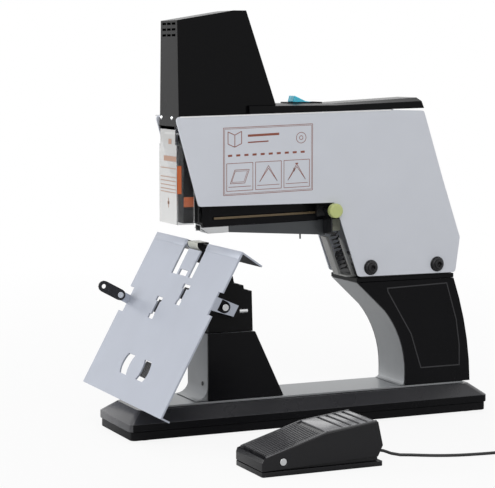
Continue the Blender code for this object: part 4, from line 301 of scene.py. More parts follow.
class Shop:
    """Helpers that put finished pieces on the frame's bodies."""

    def __init__(self) -> None:
        """Read from the record which body and slot each node has."""
        record = frame["record"]
        self.body_of = {node: body for body, nodes in record["behaviour"]["bodies"].items() for node in nodes}
        self.slot_of = {row["node"]: row["material_slot"] for row in record["subparts"]}

    def place(self, name: str, shape: Shape, finish: Finish, body: str,
              crease: float = PIECE_CREASE) -> Item:
        """Make an object of a shape in world metres and let it ride on a body.

        Args:
            name: the piece's name.
            shape: its mesh, which is freed here.
            finish: its finish.
            body: body of the record that carries it.
            crease: angle over which an edge stays sharp.

        Returns:
            The new piece.
        """
        mesh = bpy.data.meshes.new(name)
        for face in shape.faces:
            face.smooth = True
        for edge in shape.edges:
            edge.smooth = len(edge.link_faces) == 2 and edge.calc_face_angle(0.0) < crease
        shape.to_mesh(mesh)
        shape.free()
        mesh.materials.append(finish.material())
        piece = link(name, mesh)
        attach(piece, body)
        return piece

    def copy_of(self, node: str) -> Shape:
        """Return a node's shape with its doubles merged and its flats whole.

        Args:
            node: name of the CAD node.

        Returns:
            A mesh in world metres.
        """
        shape = bmesh.new()
        shape.from_mesh(frame["nodes"][node].data)
        bmesh.ops.remove_doubles(shape, verts=shape.verts, dist=SAME_VERTEX)
        bmesh.ops.dissolve_limit(shape, angle_limit=FLAT_ANGLE, verts=shape.verts,
                                 edges=shape.edges, use_dissolve_boundaries=False)
        return shape

    def stand_in(self, node: str, shape: Shape, finish: Finish, edge: Edge = FINE) -> Item:
        """Replace a node by a shape with broken edges.

        Args:
            node: name of the CAD node.
            shape: the shape that stands for it.
            finish: its finish.
            edge: how its edges are broken.

        Returns:
            The new piece.
        """
        piece = self.place(node + "_finished", shape, finish, self.body_of[node], edge.crease)
        bevel = piece.modifiers.new("broken_edges", "BEVEL")
        bevel.width, bevel.segments, bevel.angle_limit = edge.width, edge.segments, edge.crease
        bevel.limit_method = "ANGLE"
        bevel.harden_normals = bevel.use_clamp_overlap = True
        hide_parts(node)
        return piece

    def finished(self, node: str, finish: Finish, edge: Edge = FINE) -> Item:
        """Replace a node by its own shape with broken edges."""
        return self.stand_in(node, self.copy_of(node), finish, edge)

    def finish_all(self, rows: list[tuple]) -> None:
        """Replace several nodes by their own shapes with broken edges."""
        for row in rows:
            self.finished(*row)

    def paint(self, piece: Item, finish: Finish, chosen: Callable[[Vector, Face], bool]) -> None:
        """Give chosen faces of a piece a finish of their own.

        Args:
            piece: the piece to paint.
            finish: the finish of those faces.
            chosen: tells from a face's middle, in the machine's metres, and the face.
        """
        piece.data.materials.append(finish.material())
        index = len(piece.data.materials) - 1
        for face in piece.data.polygons:
            if chosen(face.center - MACHINE, face):
                face.material_index = index


def bevelled(shape: Shape, edges: list[bmesh.types.BMEdge], width: float, segments: int) -> None:
    """Bevel some edges of a shape."""
    bmesh.ops.bevel(shape, geom=edges, offset=width, segments=segments, profile=0.5, affect="EDGES",
                    material=-1, clamp_overlap=True)


def broken(shape: Shape, width: float = HAIR) -> Shape:
    """Bevel every edge of a shape that turns by more than a small angle."""
    bevelled(shape, [edge for edge in shape.edges if edge.calc_face_angle(0.0) > SHARP_EDGE], width, 2)
    return shape


def slab(size: Triple, middle: Triple) -> Shape:
    """Return a box of a size about a middle.

    Args:
        size: its three sizes.
        middle: where its middle is.

    Returns:
        The box.
    """
    shape = bmesh.new()
    bmesh.ops.create_cube(shape, size=1.0)
    bmesh.ops.scale(shape, vec=size, verts=shape.verts)
    bmesh.ops.translate(shape, vec=middle, verts=shape.verts)
    return shape


def block(low: Triple, high: Triple) -> Shape:
    """Return a box in world metres between two corners in the machine's metres."""
    middle = Vector([(a + b) / 2 for a, b in zip(low, high)]) + MACHINE
    return slab([b - a for a, b in zip(low, high)], middle)


def merged(parts: list[Shape]) -> Shape:
    """Join several shapes into one mesh.

    Args:
        parts: shapes, which are freed here.

    Returns:
        The mesh that holds them all.
    """
    whole = bmesh.new()
    for part in parts:
        mesh = bpy.data.meshes.new("joining")
        part.to_mesh(mesh)
        part.free()
        whole.from_mesh(mesh)
        bpy.data.meshes.remove(mesh)
    return whole


def strip(start: Pair, end: Pair, low_y: float, high_y: float, thick: float, sink: float = 0.0) -> Shape:
    """Return a flat bar that lies along a line of the side view.

    Args:
        start: x and z of its lower end, in the machine's metres.
        end: x and z of its upper end.
        low_y: its near side.
        high_y: its far side.
        thick: how far it stands above the line.
        sink: how far it reaches below the line.

    Returns:
        The bar in world metres.
    """
    run, rise = end[0] - start[0], end[1] - start[1]
    shape = slab((math.hypot(run, rise), high_y - low_y, thick + sink), (0, 0, (thick - sink) / 2))
    lean = Matrix.Rotation(-math.atan2(rise, run), 4, "Y")
    middle = Vector(((start[0] + end[0]) / 2, (low_y + high_y) / 2, (start[1] + end[1]) / 2))
    bmesh.ops.transform(shape, matrix=Matrix.Translation(middle + MACHINE) @ lean, verts=shape.verts)
    return shape


def turned(profile: list[Pair], centre: Triple, direction: Triple, steps: int) -> Shape:
    """Turn a closed profile about a line.

    Args:
        profile: places along the line and away from it, all off the line.
        centre: where the line starts, in the machine's metres.
        direction: the line's direction.
        steps: faces round it.

    Returns:
        The turned shape in world metres.
    """
    shape = bmesh.new()
    points = [shape.verts.new((away, 0.0, along)) for along, away in profile]
    edges = [shape.edges.new((a, b)) for a, b in zip(points, points[1:] + points[:1])]
    bmesh.ops.spin(shape, geom=points + edges, cent=(0, 0, 0), axis=(0, 0, 1), angle=math.tau,
                   steps=steps, use_merge=True)
    bmesh.ops.remove_doubles(shape, verts=shape.verts, dist=SAME_TURNED_VERTEX)
    bmesh.ops.recalc_face_normals(shape, faces=shape.faces)
    turn = Vector(direction).to_track_quat("Z", "Y").to_matrix().to_4x4()
    bmesh.ops.transform(shape, matrix=Matrix.Translation(Vector(centre) + MACHINE) @ turn, verts=shape.verts)
    return shape


def tube(name: str, points: list[Vector], diameter: float, resolution: int) -> bpy.types.Curve:
    """Return a round tube along points.

    Args:
        name: the curve's name.
        points: its points, in the machine's metres.
        diameter: how thick it is.
        resolution: bevel resolution.

    Returns:
        The curve in world metres.
    """
    curve = bpy.data.curves.new(name, "CURVE")
    curve.dimensions = "3D"
    curve.bevel_depth = diameter / 2
    curve.bevel_resolution = resolution
    curve.use_fill_caps = True
    spline = curve.splines.new("POLY")
    spline.points.add(len(points) - 1)
    for target, point in zip(spline.points, points):
        target.co = (*(point + MACHINE), 1.0)
    return curve


@dataclass
class Viewpoint:
    """The photograph's camera, fitted to the machine's edges."""

    azimuth: float = -24.177
    elevation: float = 5.802
    distance: float = 1.6372
    lens: float = 132.35
    sensor: float = 36.0
    clip_end: float = 50.0
    target: Triple = (-0.05029, 0.0525, 0.16387)

    def build(self) -> None:
        """Create the camera and make it the scene's own."""
        turn, rise = math.radians(self.azimuth), math.radians(self.elevation)
        away = Vector((math.sin(turn) * math.cos(rise), -math.cos(turn) * math.cos(rise), math.sin(rise)))
        data = bpy.data.cameras.new("camera")
        data.lens = self.lens
        data.sensor_width = self.sensor
        data.sensor_fit = "HORIZONTAL"
        data.clip_end = self.clip_end
        item = link("camera", data)
        item.location = Vector(self.target) + away * self.distance
        item.rotation_euler = (-away).to_track_quat("-Z", "Y").to_euler()
        bpy.context.scene.camera = item
        log.info("camera at %s", tuple(round(part, 4) for part in item.location))


@dataclass
class Assembly:
    """A sub-assembly, dressed with the shop's helpers."""

    shop: Shop


@dataclass
class PedalCord(Assembly):
    """The pedal's cord, its coil put away beside the machine, and its plug."""

    diameter: float = 0.0026
    exit: Triple = (0.1630, -0.1765, 0.0076)
    floor: float = 0.00145
    coil: Pair = (0.322, -0.184)
    mean: float = 0.0155
    layers: int = 4
    turns: float = 14.25
    steps: int = 24
    pitch: float = 0.0031
    climb: float = 0.0031
    step: float = 0.0065
    straight_from: float = 0.2980
    coil_gap: float = 0.0003
    plug_radius: float = 0.005
    plug_tip: float = -0.1355
    ramp_length: float = 0.024
    ramp_level: float = 0.25
    ramp_points: int = 12
    roundness: int = 3
    route: list[Triple] = field(default_factory=lambda: [
        (0.1735, -0.1764, 0.0058), (0.1805, -0.1767, 0.0030), (0.1880, -0.1785, 0.00145),
        (0.1960, -0.1825, 0.00145), (0.2041, -0.1876, 0.00145), (0.2150, -0.1935, 0.00145),
        (0.2300, -0.1990, 0.00145), (0.2500, -0.2025, 0.00145), (0.2750, -0.2045, 0.00145),
    ])

    def swing(self) -> float:
        """Return half the width of the coil's band of turns."""
        return self.pitch * self.turns / self.layers / 2

    def along_floor(self) -> list[Vector]:
        """Lead the cord from the pedal to its coil.

        Returns:
            The points of that run.
        """
        run, start = self.diameter, self.coil[0] - self.coil_gap
        end_y = self.coil[1] - self.mean - self.swing()
        points = [self.exit, (self.exit[0] + run, *self.exit[1:]), *self.route]
        return self.smooth(points + [(x, end_y, self.floor) for x in (self.straight_from, start - run * 2,
                                                                      start - run)])

    def smooth(self, points: list[Triple]) -> list[Vector]:
        """Return points about one step apart on a curve through chosen ones.

        Args:
            points: the chosen points.

        Returns:
            The points of the curve.
        """
        path = [Vector(points[0])]
        last = len(points) - 1
        for index in range(last):
            before = Vector(points[max(index - 1, 0)])
            start, end = Vector(points[index]), Vector(points[index + 1])
            after = Vector(points[min(index + 2, last)])
            pieces = max(1, round((end - start).length / self.step))
            for piece in range(1, pieces + 1):
                t = piece / pieces
                bend = (end - before) * t + (before * 2 - start * 5 + end * 4 - after) * t ** 2
                bend += (start * 3 - before - end * 3 + after) * t ** 3
                path.append(start + bend / 2)
        return path

    def climbed(self, turns: float) -> float:
        """Return how many layers the coil has climbed after some turns.

        Args:
            turns: turns made so far.

        Returns:
            The layers, with a smooth step between two of them.
        """
        climbed = 0.0
        for index in range(1, self.layers):
            share = (turns - index * self.turns / self.layers) * 2 + 0.5
            climbed += (1 - math.cos(math.pi * min(max(share, 0.0), 1.0))) / 2
        return climbed

    def in_coil(self) -> list[Vector]:
        """Wind the coil and lead the cord down to the plug.

        Returns:
            The points of both.
        """
        middle_x, middle_y = self.coil
        points = []
        for step in range(round(self.turns * self.steps) + 1):
            turns = step / self.steps
            wave = abs((turns / (self.turns / self.layers)) % 2 - 1) * 2 - 1
            radius = self.mean + self.swing() * wave
            angle = math.tau * turns - math.pi / 2
            height = self.floor + self.climb * self.climbed(turns)
            spot = (middle_x + radius * math.cos(angle), middle_y + radius * math.sin(angle), height)
            points.append(Vector(spot))
        last = points[-1]
        drop = last.z - self.plug_radius
        for step in range(1, self.ramp_points + 1):
            share = step / self.ramp_points
            falling = max(share - self.ramp_level, 0.0) / (1 - self.ramp_level)
            fall = drop * (1 - math.cos(math.pi * falling)) / 2
            points.append(last + Vector((0, self.ramp_length * share, -fall)))
        points.append(points[-1] + Vector((0, self.diameter, 0)))
        return points

    def build(self) -> None:
        """Lay the cord as one curve and dress its plug."""
        points = self.along_floor() + self.in_coil()
        curve = tube("pedal_cord_run", points, self.diameter, self.roundness)
        curve.materials.append(RUBBER.material())
        piece = link("pedal_cord_run", curve)
        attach(piece, self.shop.body_of["pedal_cord"])
        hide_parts("pedal_cord", "cord_coil")
        plug = self.shop.finished("pedal_plug", BLACK)
        self.shop.paint(plug, STEEL, lambda spot, face: spot.y > self.plug_tip)


@dataclass
class Base(Assembly):
    """Base plate, its moulded cover, the feet and the frame's floor strip."""

    rear_end: float = 0.300
    level: float = 0.9
    leaning: float = 0.3

    def build(self) -> None:
        """Dress the base."""
        self.shop.finished("base_plate", BASE_STEEL, Edge(0.0006))
        cover = self.shop.finished("base_cover", BLACK, Edge(0.0012, 3))
        # The cover's near slope takes a mid grey, a painted sheen.
        self.shop.paint(cover, COVER_SLOPE_SHEEN, self.on_slope)
        # The cover's tops, rear slopes and fronts take a lighter grey, a painted sheen.
        self.shop.paint(cover, COVER_SHEEN, self.on_sheen)
        feet = [f"foot_{end}_{side}" for end in ("front", "rear") for side in ("near", "far")]
        self.shop.finish_all([(foot, FEET) for foot in feet])
        self.shop.finished("frame_strip", ALUMINIUM)

    def on_slope(self, spot: Vector, face: Face) -> bool:
        """Return whether a face belongs to the cover's near slope."""
        return face.normal.y < -self.leaning and face.normal.z > self.leaning

    def on_sheen(self, spot: Vector, face: Face) -> bool:
        """Return whether a face is among the cover's tops, rear slopes and fronts, which take a painted
        sheen.
        """
        at_rear = spot.x > self.rear_end and face.normal.z > self.leaning
        return at_rear or face.normal.z > self.level or face.normal.x < -self.leaning


@dataclass
class Stand(Assembly):
    """Column, arch, covers, sockets and the stepped anvil block."""

    cover_half: float = 0.02625
    neck_top: float = 0.1530
    neck_front: float = 0.0790
    prong_half: float = 0.0085
    prong_heights: Pair = (0.0530, 0.0679)
    lengthwise: float = 0.9
    screw: Triple = (0.0798, -0.0113, 0.0422)
    screw_steps: int = 16
    screw_profile: tuple[Pair, ...] = ((0, 0.00001), (0.0007, 0.00001), (0.0007, 0.0016), (0, 0.0020))

    def build(self) -> None:
        """Dress the column, the arched stand and the block."""
        shop = self.shop
        shop.finished("frame_column", ALUMINIUM, Edge(0.0010, 3))
        shop.finished("frame_arch", ALUMINIUM, Edge(0.0005))
        for side in ("near", "far"):
            shop.finished(f"column_cover_{side}", BLACK)
            cover = shop.finished(f"stand_cover_{side}", BLACK, Edge(0.00025))
            # The raised border's faces take a lighter grey, a painted highlight.
            shop.paint(cover, BORDER_HIGHLIGHT, lambda spot, face: abs(spot.y) > self.cover_half)
        shop.finish_all([("stand_rear", BLACK), ("stand_ledge", BLACK, Edge(0.0006))])
        inlet = shop.finished("mains_inlet", BLACK)
        shop.paint(inlet, STEEL, self.on_prong)
        shop.finished("pedal_socket", OXIDE)
        stepped = shop.finished("anvil_block", BLOCK_BLACK, Edge(0.0004))
        shop.paint(stepped, ANVIL, lambda spot, face: spot.z > self.neck_top and spot.x < self.neck_front)
        shop.finish_all([("anvil", ANVIL, Edge(0.0002)), ("catch_pin", STEEL)])
        head = turned(self.screw_profile, self.screw, (-1, 0, 0), self.screw_steps)
        shop.place("column_screw", head, OXIDE, "machine")

    def on_prong(self, spot: Vector, face: Face) -> bool:
        """Return whether a face belongs to one of the inlet's prongs."""
        low, high = self.prong_heights
        return abs(spot.y) < self.prong_half and low < spot.z < high and abs(face.normal.x) < self.lengthwise


@dataclass
class Table(Assembly):
    """Folding table with its stud and pull tab."""

    ridge: Pair = (0.0801, 0.1684)
    slope: float = math.radians(61.3)
    rails: tuple = (("far", 0.0600, 0.0722, 0.0120, 0.0245), ("near", 0.0425, 0.0535, -0.0275, -0.0160))
    rail_depths: Pair = (-0.0040, -0.0017)
    rail_edge: float = 0.0003
    pad: Pair = (0.1155, 0.0145)
    pad_sides: Pair = (-0.0290, -0.0125)
    pad_depths: Pair = (-0.0036, -0.0018)
    pad_ribs: int = 5
    rib_span: Pair = (-0.0282, 0.0150)
    rib_share: float = 0.5
    rib_depths: Pair = (-0.0018, -0.0012)
    bands: tuple = (("near", -0.0975, -0.0275), ("far", 0.0250, 0.0975))
    band: Pair = (0.0008, 0.0062)
    band_depths: Pair = (-0.0002, 0.00025)
    band_edge: float = 0.0001
    stud_end: float = -0.0915
    rivet: Pair = (0.0692, -0.0100)
    rivet_sides: Pair = (0.0835, 0.0868)
    rivet_radius: float = 0.0031
    flap_low: float = 0.150
    flap_lean: float = 0.3

    def panel(self, down: float, behind: float = 0.0) -> Pair:
        """Return the side view point of the panel at a distance from its ridge."""
        turn, rise = math.cos(self.slope), math.sin(self.slope)
        return (self.ridge[0] - down * turn + behind * rise, self.ridge[1] - down * rise - behind * turn)

    def lying(self, down: float, length: float, low_y: float, high_y: float, low: float,
              high: float) -> Shape:
        """Return a flat bar that lies parallel to the panel."""
        return strip(self.panel(down + length), self.panel(down), low_y, high_y, high, -low)

    def build(self) -> None:
        """Dress the table, its guide rails, its grip pad and its rivet."""
        shop = self.shop
        panel = shop.finished("table_panel", SHEET, Edge(0.00022))
        # The flap's underside takes a dark grey, a painted shade.
        shop.paint(panel, SHEET_UNDERSIDE_SHADE, self.under_flap)
        shop.paint(panel, STEEL, self.on_rivet)
        stud = shop.finished("table_stud", BLACK, Edge(0.00022))
        shop.paint(stud, STEEL, lambda spot, face: spot.y < self.stud_end)
        shop.finished("pull_tab", OXIDE)
        for name, start, end, low_y, high_y in self.rails:
            bar = self.lying(start, end - start, low_y, high_y, *self.rail_depths)
            shop.place(f"guide_rail_{name}", broken(bar, self.rail_edge), BLACK, "table")
        backing = self.lying(*self.pad, *self.pad_sides, *self.pad_depths)
        shop.place("grip_pad_backing", broken(backing), BLOCK_BLACK, "table")
        ribs, pitch = [], self.rib_span[1] / self.pad_ribs
        for index in range(self.pad_ribs):
            near = self.rib_span[0] + index * pitch
            rib = self.lying(*self.pad, near, near + pitch * self.rib_share, *self.rib_depths)
            ribs.append(broken(rib))
        shop.place("grip_pad", merged(ribs), OXIDE, "table")
        for name, low_y, high_y in self.bands:
            bar = self.lying(*self.band, low_y, high_y, *self.band_depths)
            shop.place(f"ridge_band_{name}", broken(bar, self.band_edge), SHEET, "table")

    def under_flap(self, spot: Vector, face: Face) -> bool:
        """Return whether a face is the flap's underside."""
        return spot.x > self.ridge[0] and face.normal.z < -self.flap_lean and spot.z > self.flap_low

    def on_rivet(self, spot: Vector, face: Face) -> bool:
        """Return whether a face belongs to the rivet that holds the pull tab."""
        (x, z), (near, far) = self.panel(*self.rivet), self.rivet_sides
        return near < spot.y < far and math.hypot(spot.x - x, spot.z - z) < self.rivet_radius


@dataclass
class Head(Assembly):
    """Side plates, mount, head cover, guard, switch and what they hide."""

    plate_half: float = 0.0295
    roll_low: float = 0.276
    roll_side: float = 0.0290
    roll_length: float = 0.1
    roll_width: float = 0.0016
    roll_segments: int = 4
    bead: tuple[Pair, Pair] = ((0.0520, 0.2788), (0.2585, 0.2827))
    bead_half: float = 0.0007
    bead_height: float = 0.0012
    bead_edge: float = 0.0004
    bolt_places: tuple = (("front", 0.2385), ("rear", 0.3078))
    bolt_height: float = 0.1406
    cup_half: float = 0.0325
    washer: tuple = ((0, 0.0035), (0, 0.0070), (0.0006, 0.0070), (0.0009, 0.0066), (0.0009, 0.0035))
    cup: tuple = ((0, 0.0026), (0, 0.0041), (0.0012, 0.0041), (0.0016, 0.0037), (0.0016, 0.0024),
                  (0.0006, 0.0024))
    washer_steps: int = 40
    cup_steps: int = 32
    dome_steps: int = 20
    dome: tuple = ((-0.0010, 0.00001), (0.0014, 0.00001), (0.0012, 0.0009), (0.0008, 0.0016),
                   (0, 0.0020), (-0.0010, 0.0020))
    dome_places: tuple = (("near", -0.0069), ("far", 0.0177))
    skirt: Pair = (0.0535, 0.2780)
    facing: float = 0.5
    orange_band: tuple[Triple, Triple] = ((0.0641, -0.0073, 0.1998), (0.0736, 0.0073, 0.2085))
    stripe: tuple[Triple, Triple] = ((0.0524, -0.02075, 0.2125), (0.0564, -0.0206, 0.2370))
    print_front: float = 0.0519
    print_depth: float = 0.0001
    print_blocks: tuple = ((0.2405, 0.2450, 0.0090, -0.0200), (0.2026, 0.2052, 0.0005, -0.0035),
                           (0.1995, 0.2080, -0.0008, -0.0022), (0.2555, 0.2600, -0.0020, -0.0090))
    line_height: float = 0.0007
    line_sides: Pair = (0.0166, -0.0190)
    print_lines: tuple[float, ...] = (0.2340, 0.2262, 0.2228, 0.2192, 0.2157, 0.2130)

    def build(self) -> None:
        """Dress the head."""
        shop = self.shop
        for side in ("near", "far"):
            self.side_plate(side)
        shop.finish_all([("head_mount", OXIDE, Edge(0.0005)), ("pivot_shaft", STEEL)])
        for end, x in self.bolt_places:
            self.bolt(end, x)
        shop.finished("bridge_plate", PLATED)
        shop.finished("head_cover", COVER, Edge(0.0011, 3, math.radians(12)))
        for name, y in self.dome_places:
            head = turned(self.dome, (self.skirt[0], y, self.skirt[1]), (-1, 0, 0), self.dome_steps)
            shop.place(f"skirt_screw_{name}", head, STEEL, "machine")
        guard = shop.finished("guard", CLEAR, Edge(0.0002))
        shop.paint(guard, FROST, lambda spot, face: face.normal.x < -self.facing)
        shop.finish_all([
            ("guard_pin", STEEL, Edge(0.0002)), ("switch_housing", BLACK, Edge(0.0004)),
            ("switch_rocker", CYAN, Edge(0.0010, 3)), ("solenoid_yoke", PLATED, Edge(0.0004)),
            ("solenoid_coil", COPPER, Edge(0.0006)), ("plunger", STEEL),
            ("driver_blade", OXIDE, Edge(0.0002)), ("driver_guide", BLACK, Edge(0.0004))])
        shop.place("guide_band", broken(block(*self.orange_band)), ORANGE, "machine")
        shop.finish_all([("control_board", BOARD, Edge(0.0002)), ("capacitor", OXIDE, Edge(0.0008))])
        self.guard_print()

    def side_plate(self, side: str) -> None:
        """Dress a side plate, with its folded top edge rolled.

        Args:
            side: near or far.
        """
        node = f"side_plate_{side}"
        shape = self.shop.copy_of(node)
        sign = -1 if side == "near" else 1
        rolled = []
        for edge in shape.edges:
            ends = [vert.co - MACHINE for vert in edge.verts]
            outer = all(spot.z > self.roll_low and spot.y * sign > self.roll_side for spot in ends)
            if outer and edge.calc_length() > self.roll_length:
                rolled.append(edge)
        bevelled(shape, rolled, self.roll_width, self.roll_segments)
        log.info("%s: %d edges rolled", node, len(rolled))
        self.shop.stand_in(node, shape, PAINT)
        middle = sign * self.plate_half
        # A near-white strip along the top edge is a painted highlight.
        bead = strip(*self.bead, middle - self.bead_half, middle + self.bead_half, self.bead_height)
        self.shop.place(f"plate_highlight_{side}", broken(bead, self.bead_edge), PLATE_EDGE_HIGHLIGHT, "machine")

    def bolt(self, end: str, x: float) -> None:
        """Dress a through bolt, with a washer and a raised socket on both heads.

        Args:
            end: front or rear.
            x: its place along the machine.
        """
        self.shop.finished(f"bolt_{end}", OXIDE, Edge(0.0006, 3))
        for side, sign in (("near", -1), ("far", 1)):
            for kind, profile, half, steps in (("washer", self.washer, self.plate_half, self.washer_steps),
                                               ("cup", self.cup, self.cup_half, self.cup_steps)):
                ring = turned(profile, (x, sign * half, self.bolt_height), (0, sign, 0), steps)
                self.shop.place(f"bolt_{kind}_{end}_{side}", ring, OXIDE, "machine")

    def guard_print(self) -> None:
        """Print the plain stripes and bands on the clear guard."""
        self.shop.place("guard_stripe", block(*self.stripe), ORANGE, "guard")
        rows = [*self.print_blocks]
        rows += [(z, z + self.line_height, *self.line_sides) for z in self.print_lines]
        front, back = self.print_front - self.print_depth, self.print_front
        marks = [block((front, far, low), (back, near, high)) for low, high, near, far in rows]
        self.shop.place("guard_marks", merged(marks), FAINT_PRINT, "guard")


@dataclass
class Diagram(Assembly):
    """Plain framed drawing of sheets being folded, on the near side plate."""

    face: float = -0.0295
    line: float = 0.00045
    lift: float = 0.00012
    corner: Pair = (0.0925, 0.2105)
    width: float = 0.0865
    height: float = 0.0590
    tilt: float = 0.030
    panels: Triple = (0.035, 0.355, 0.675)
    panel_width: float = 0.29
    panel_heights: Pair = (0.06, 0.47)
    panel_line: Triple = (0.02, 0.27, 0.12)
    inner: tuple[Pair, Pair] = ((0.012, 0.018), (0.988, 0.982))
    light: float = 0.7
    sheet: tuple = ((0.075, 0.17), (0.235, 0.17), (0.285, 0.37), (0.125, 0.37))
    sheet_inner: tuple = ((0.090, 0.19), (0.225, 0.19), (0.265, 0.35), (0.130, 0.35))
    tents: Pair = (0.50, 0.82)
    tent_half: float = 0.10
    tent_heights: Pair = (0.17, 0.41)
    tent_drops: Pair = (0.0, 0.04)
    book_place: Pair = (0.125, 0.80)
    book_half: Pair = (0.075, 0.09)
    book_rise: float = 0.05
    book_weight: float = 1.4
    ring_place: Pair = (0.87, 0.80)
    rings: tuple = ((0.055, 20), (0.020, 12))
    bars: tuple = (((0.27, 0.87), (0.62, 0.875), 4.5), ((0.27, 0.77), (0.50, 0.775), 2.5),
                   ((0.805, 0.415), (0.835, 0.415), 2.5), ((0.79, 0.35), (0.79, 0.30), 2.5))
    dashes: int = 10
    dash_pitch: float = 0.0905
    dash: tuple[Pair, Pair] = ((0.05, 0.585), (0.095, 0.587))
    dash_weight: float = 4.0

    def at(self, share_x: float, share_z: float) -> Pair:
        """Return a side view point from shares of the frame's width and height."""
        x = self.corner[0] + self.width * share_x
        return (x, self.corner[1] + self.height * share_z + (x - self.corner[0]) * self.tilt)

    def stroke(self, start: Pair, end: Pair, weight: float = 1.0) -> Shape:
        """Return one printed stroke."""
        half = self.line * weight / 2
        return strip(self.at(*start), self.at(*end), self.face - self.lift, self.face + self.lift, half, half)

    def loop(self, points: tuple[Pair, ...], weight: float = 1.0) -> list[Shape]:
        """Return the strokes of a closed outline."""
        return [self.stroke(a, b, weight) for a, b in zip(points, points[1:] + points[:1])]

    def box(self, low: Pair, high: Pair, weight: float = 1.0) -> list[Shape]:
        """Return the strokes of an upright box between two corners."""
        return self.loop((low, (high[0], low[1]), high, (low[0], high[1])), weight)

    def ring(self, radius: float, sides: int) -> list[Shape]:
        """Return the strokes of a circle.

        Args:
            radius: a share of the frame's width.
            sides: how many strokes draw it.

        Returns:
            The strokes.
        """
        (x, z), tall = self.ring_place, radius * self.width / self.height
        turns = [math.tau * index / sides for index in range(sides)]
        return self.loop(tuple((x + radius * math.cos(turn), z + tall * math.sin(turn)) for turn in turns))

    def tent(self, middle: float, drop: float) -> list[Shape]:
        """Return the strokes of a sheet folded over its ridge.

        Args:
            middle: where the ridge is along the frame.
            drop: how far the ridge lies below its top height.

        Returns:
            The strokes of both halves.
        """
        foot, ridge = self.tent_heights[0], (middle, self.tent_heights[1] - drop)
        return [self.stroke((middle - self.tent_half, foot), ridge),
                self.stroke(ridge, (middle + self.tent_half, foot))]

    def book(self) -> list[Shape]:
        """Draw an open book.

        Returns:
            The strokes of both its pages and its spine.
        """
        (x, z), (wide, tall) = self.book_place, self.book_half
        low, high, strokes = (x, z - tall), (x, z + tall), []
        for outer in (x - wide, x + wide):
            ends = [low, (outer, low[1] + self.book_rise), (outer, high[1] + self.book_rise), high]
            strokes += [self.stroke(a, b, self.book_weight) for a, b in zip(ends, ends[1:])]
        return strokes + [self.stroke(low, high, self.book_weight)]

    def build(self) -> None:
        """Print the frame, its three panels and the drawings in them."""
        low, high = self.panel_heights
        left, right, level = self.panel_line
        lines = self.box((0, 0), (1, 1)) + self.box(*self.inner, self.light)
        for start in self.panels:
            lines += self.box((start, low), (start + self.panel_width, high))
            lines.append(self.stroke((start + left, level), (start + right, level)))
        lines += self.loop(self.sheet) + self.loop(self.sheet_inner, self.light)
        for middle in self.tents:
            lines += [stroke for drop in self.tent_drops for stroke in self.tent(middle, drop)]
        self.shop.place("diagram_lines", merged(lines), PRINT, "machine")
        marks = self.book() + [self.stroke(start, end, weight) for start, end, weight in self.bars]
        marks += [stroke for radius, sides in self.rings for stroke in self.ring(radius, sides)]
        (start, low), (end, high) = self.dash
        for index in range(self.dashes):
            x = self.dash_pitch * index
            marks.append(self.stroke((start + x, low), (end + x, high), self.dash_weight))
        self.shop.place("diagram_bars", merged(marks), PRINT, "machine")


@dataclass
class Arm(Assembly):
    """Clamping arm with its rail, magazine, depth slider and spring bracket."""

    pivot: Pair = (0.258, 0.192)
    tilt: float = math.radians(1.27)
    knob_face: float = -0.0302
    slot: tuple[Pair, Pair] = ((-0.1655, -0.0006), (-0.0510, -0.0006))
    slot_sides: Pair = (-0.0086, -0.0075)
    slot_height: float = 0.0020
    facing: float = 0.5
    eye: Pair = (-0.1769, 0.0067)
    eye_steps: int = 16
    eye_profile: tuple[Pair, ...] = ((0, 0.00001), (0.0006, 0.00001), (0.0006, 0.0016), (0, 0.0019))

    def build(self) -> None:
        """Dress the arm."""
        shop = self.shop
        shop.finish_all([
            ("arm_rail", BLACK, Edge(0.0005)), ("magazine", MAGAZINE), ("nose", STEEL, Edge(0.0005)),
            ("staple_strip", STEEL, Edge(0.0001, 1)), ("pusher", PLATED)])
        seat = shop.finished("spring_seat", OLIVE)
        # The seat's underside faces take the bright steel finish, a painted highlight along its lower edge.
        shop.paint(seat, STEEL, lambda spot, face: face.normal.z < -self.facing)
        shop.finished("depth_slider", OXIDE)
        knob = shop.finished("depth_knob", LIME, Edge(0.0005, 3))
        shop.paint(knob, OXIDE, lambda spot, face: spot.y > self.knob_face)
        bracket = shop.finished("spring_bracket", BRACKET, Edge(0.0002))
        # The bracket's front faces take a darker copy of its steel, a painted shade.
        shop.paint(bracket, BRACKET_SHADE, lambda spot, face: face.normal.x < -self.facing)
        # The tan strip in the slot is a painted highlight of the slot's lower lip.
        scale = strip(*(self.local(*spot) for spot in self.slot), *self.slot_sides, self.slot_height)
        shop.place("slot_lip_highlight", broken(scale), SLOT_HIGHLIGHT, "arm")
        x, z = self.local(*self.eye)
        head = turned(self.eye_profile, (x, 0, z), (-1, 0, 0), self.eye_steps)
        shop.place("mouth_screw", head, PLATED, "arm")

    def local(self, x: float, z: float) -> Pair:
        """Return the machine's side view point of a point in the arm's own frame."""
        turn, rise = math.cos(self.tilt), math.sin(self.tilt)
        return (self.pivot[0] + x * turn - z * rise, self.pivot[1] + x * rise + z * turn)


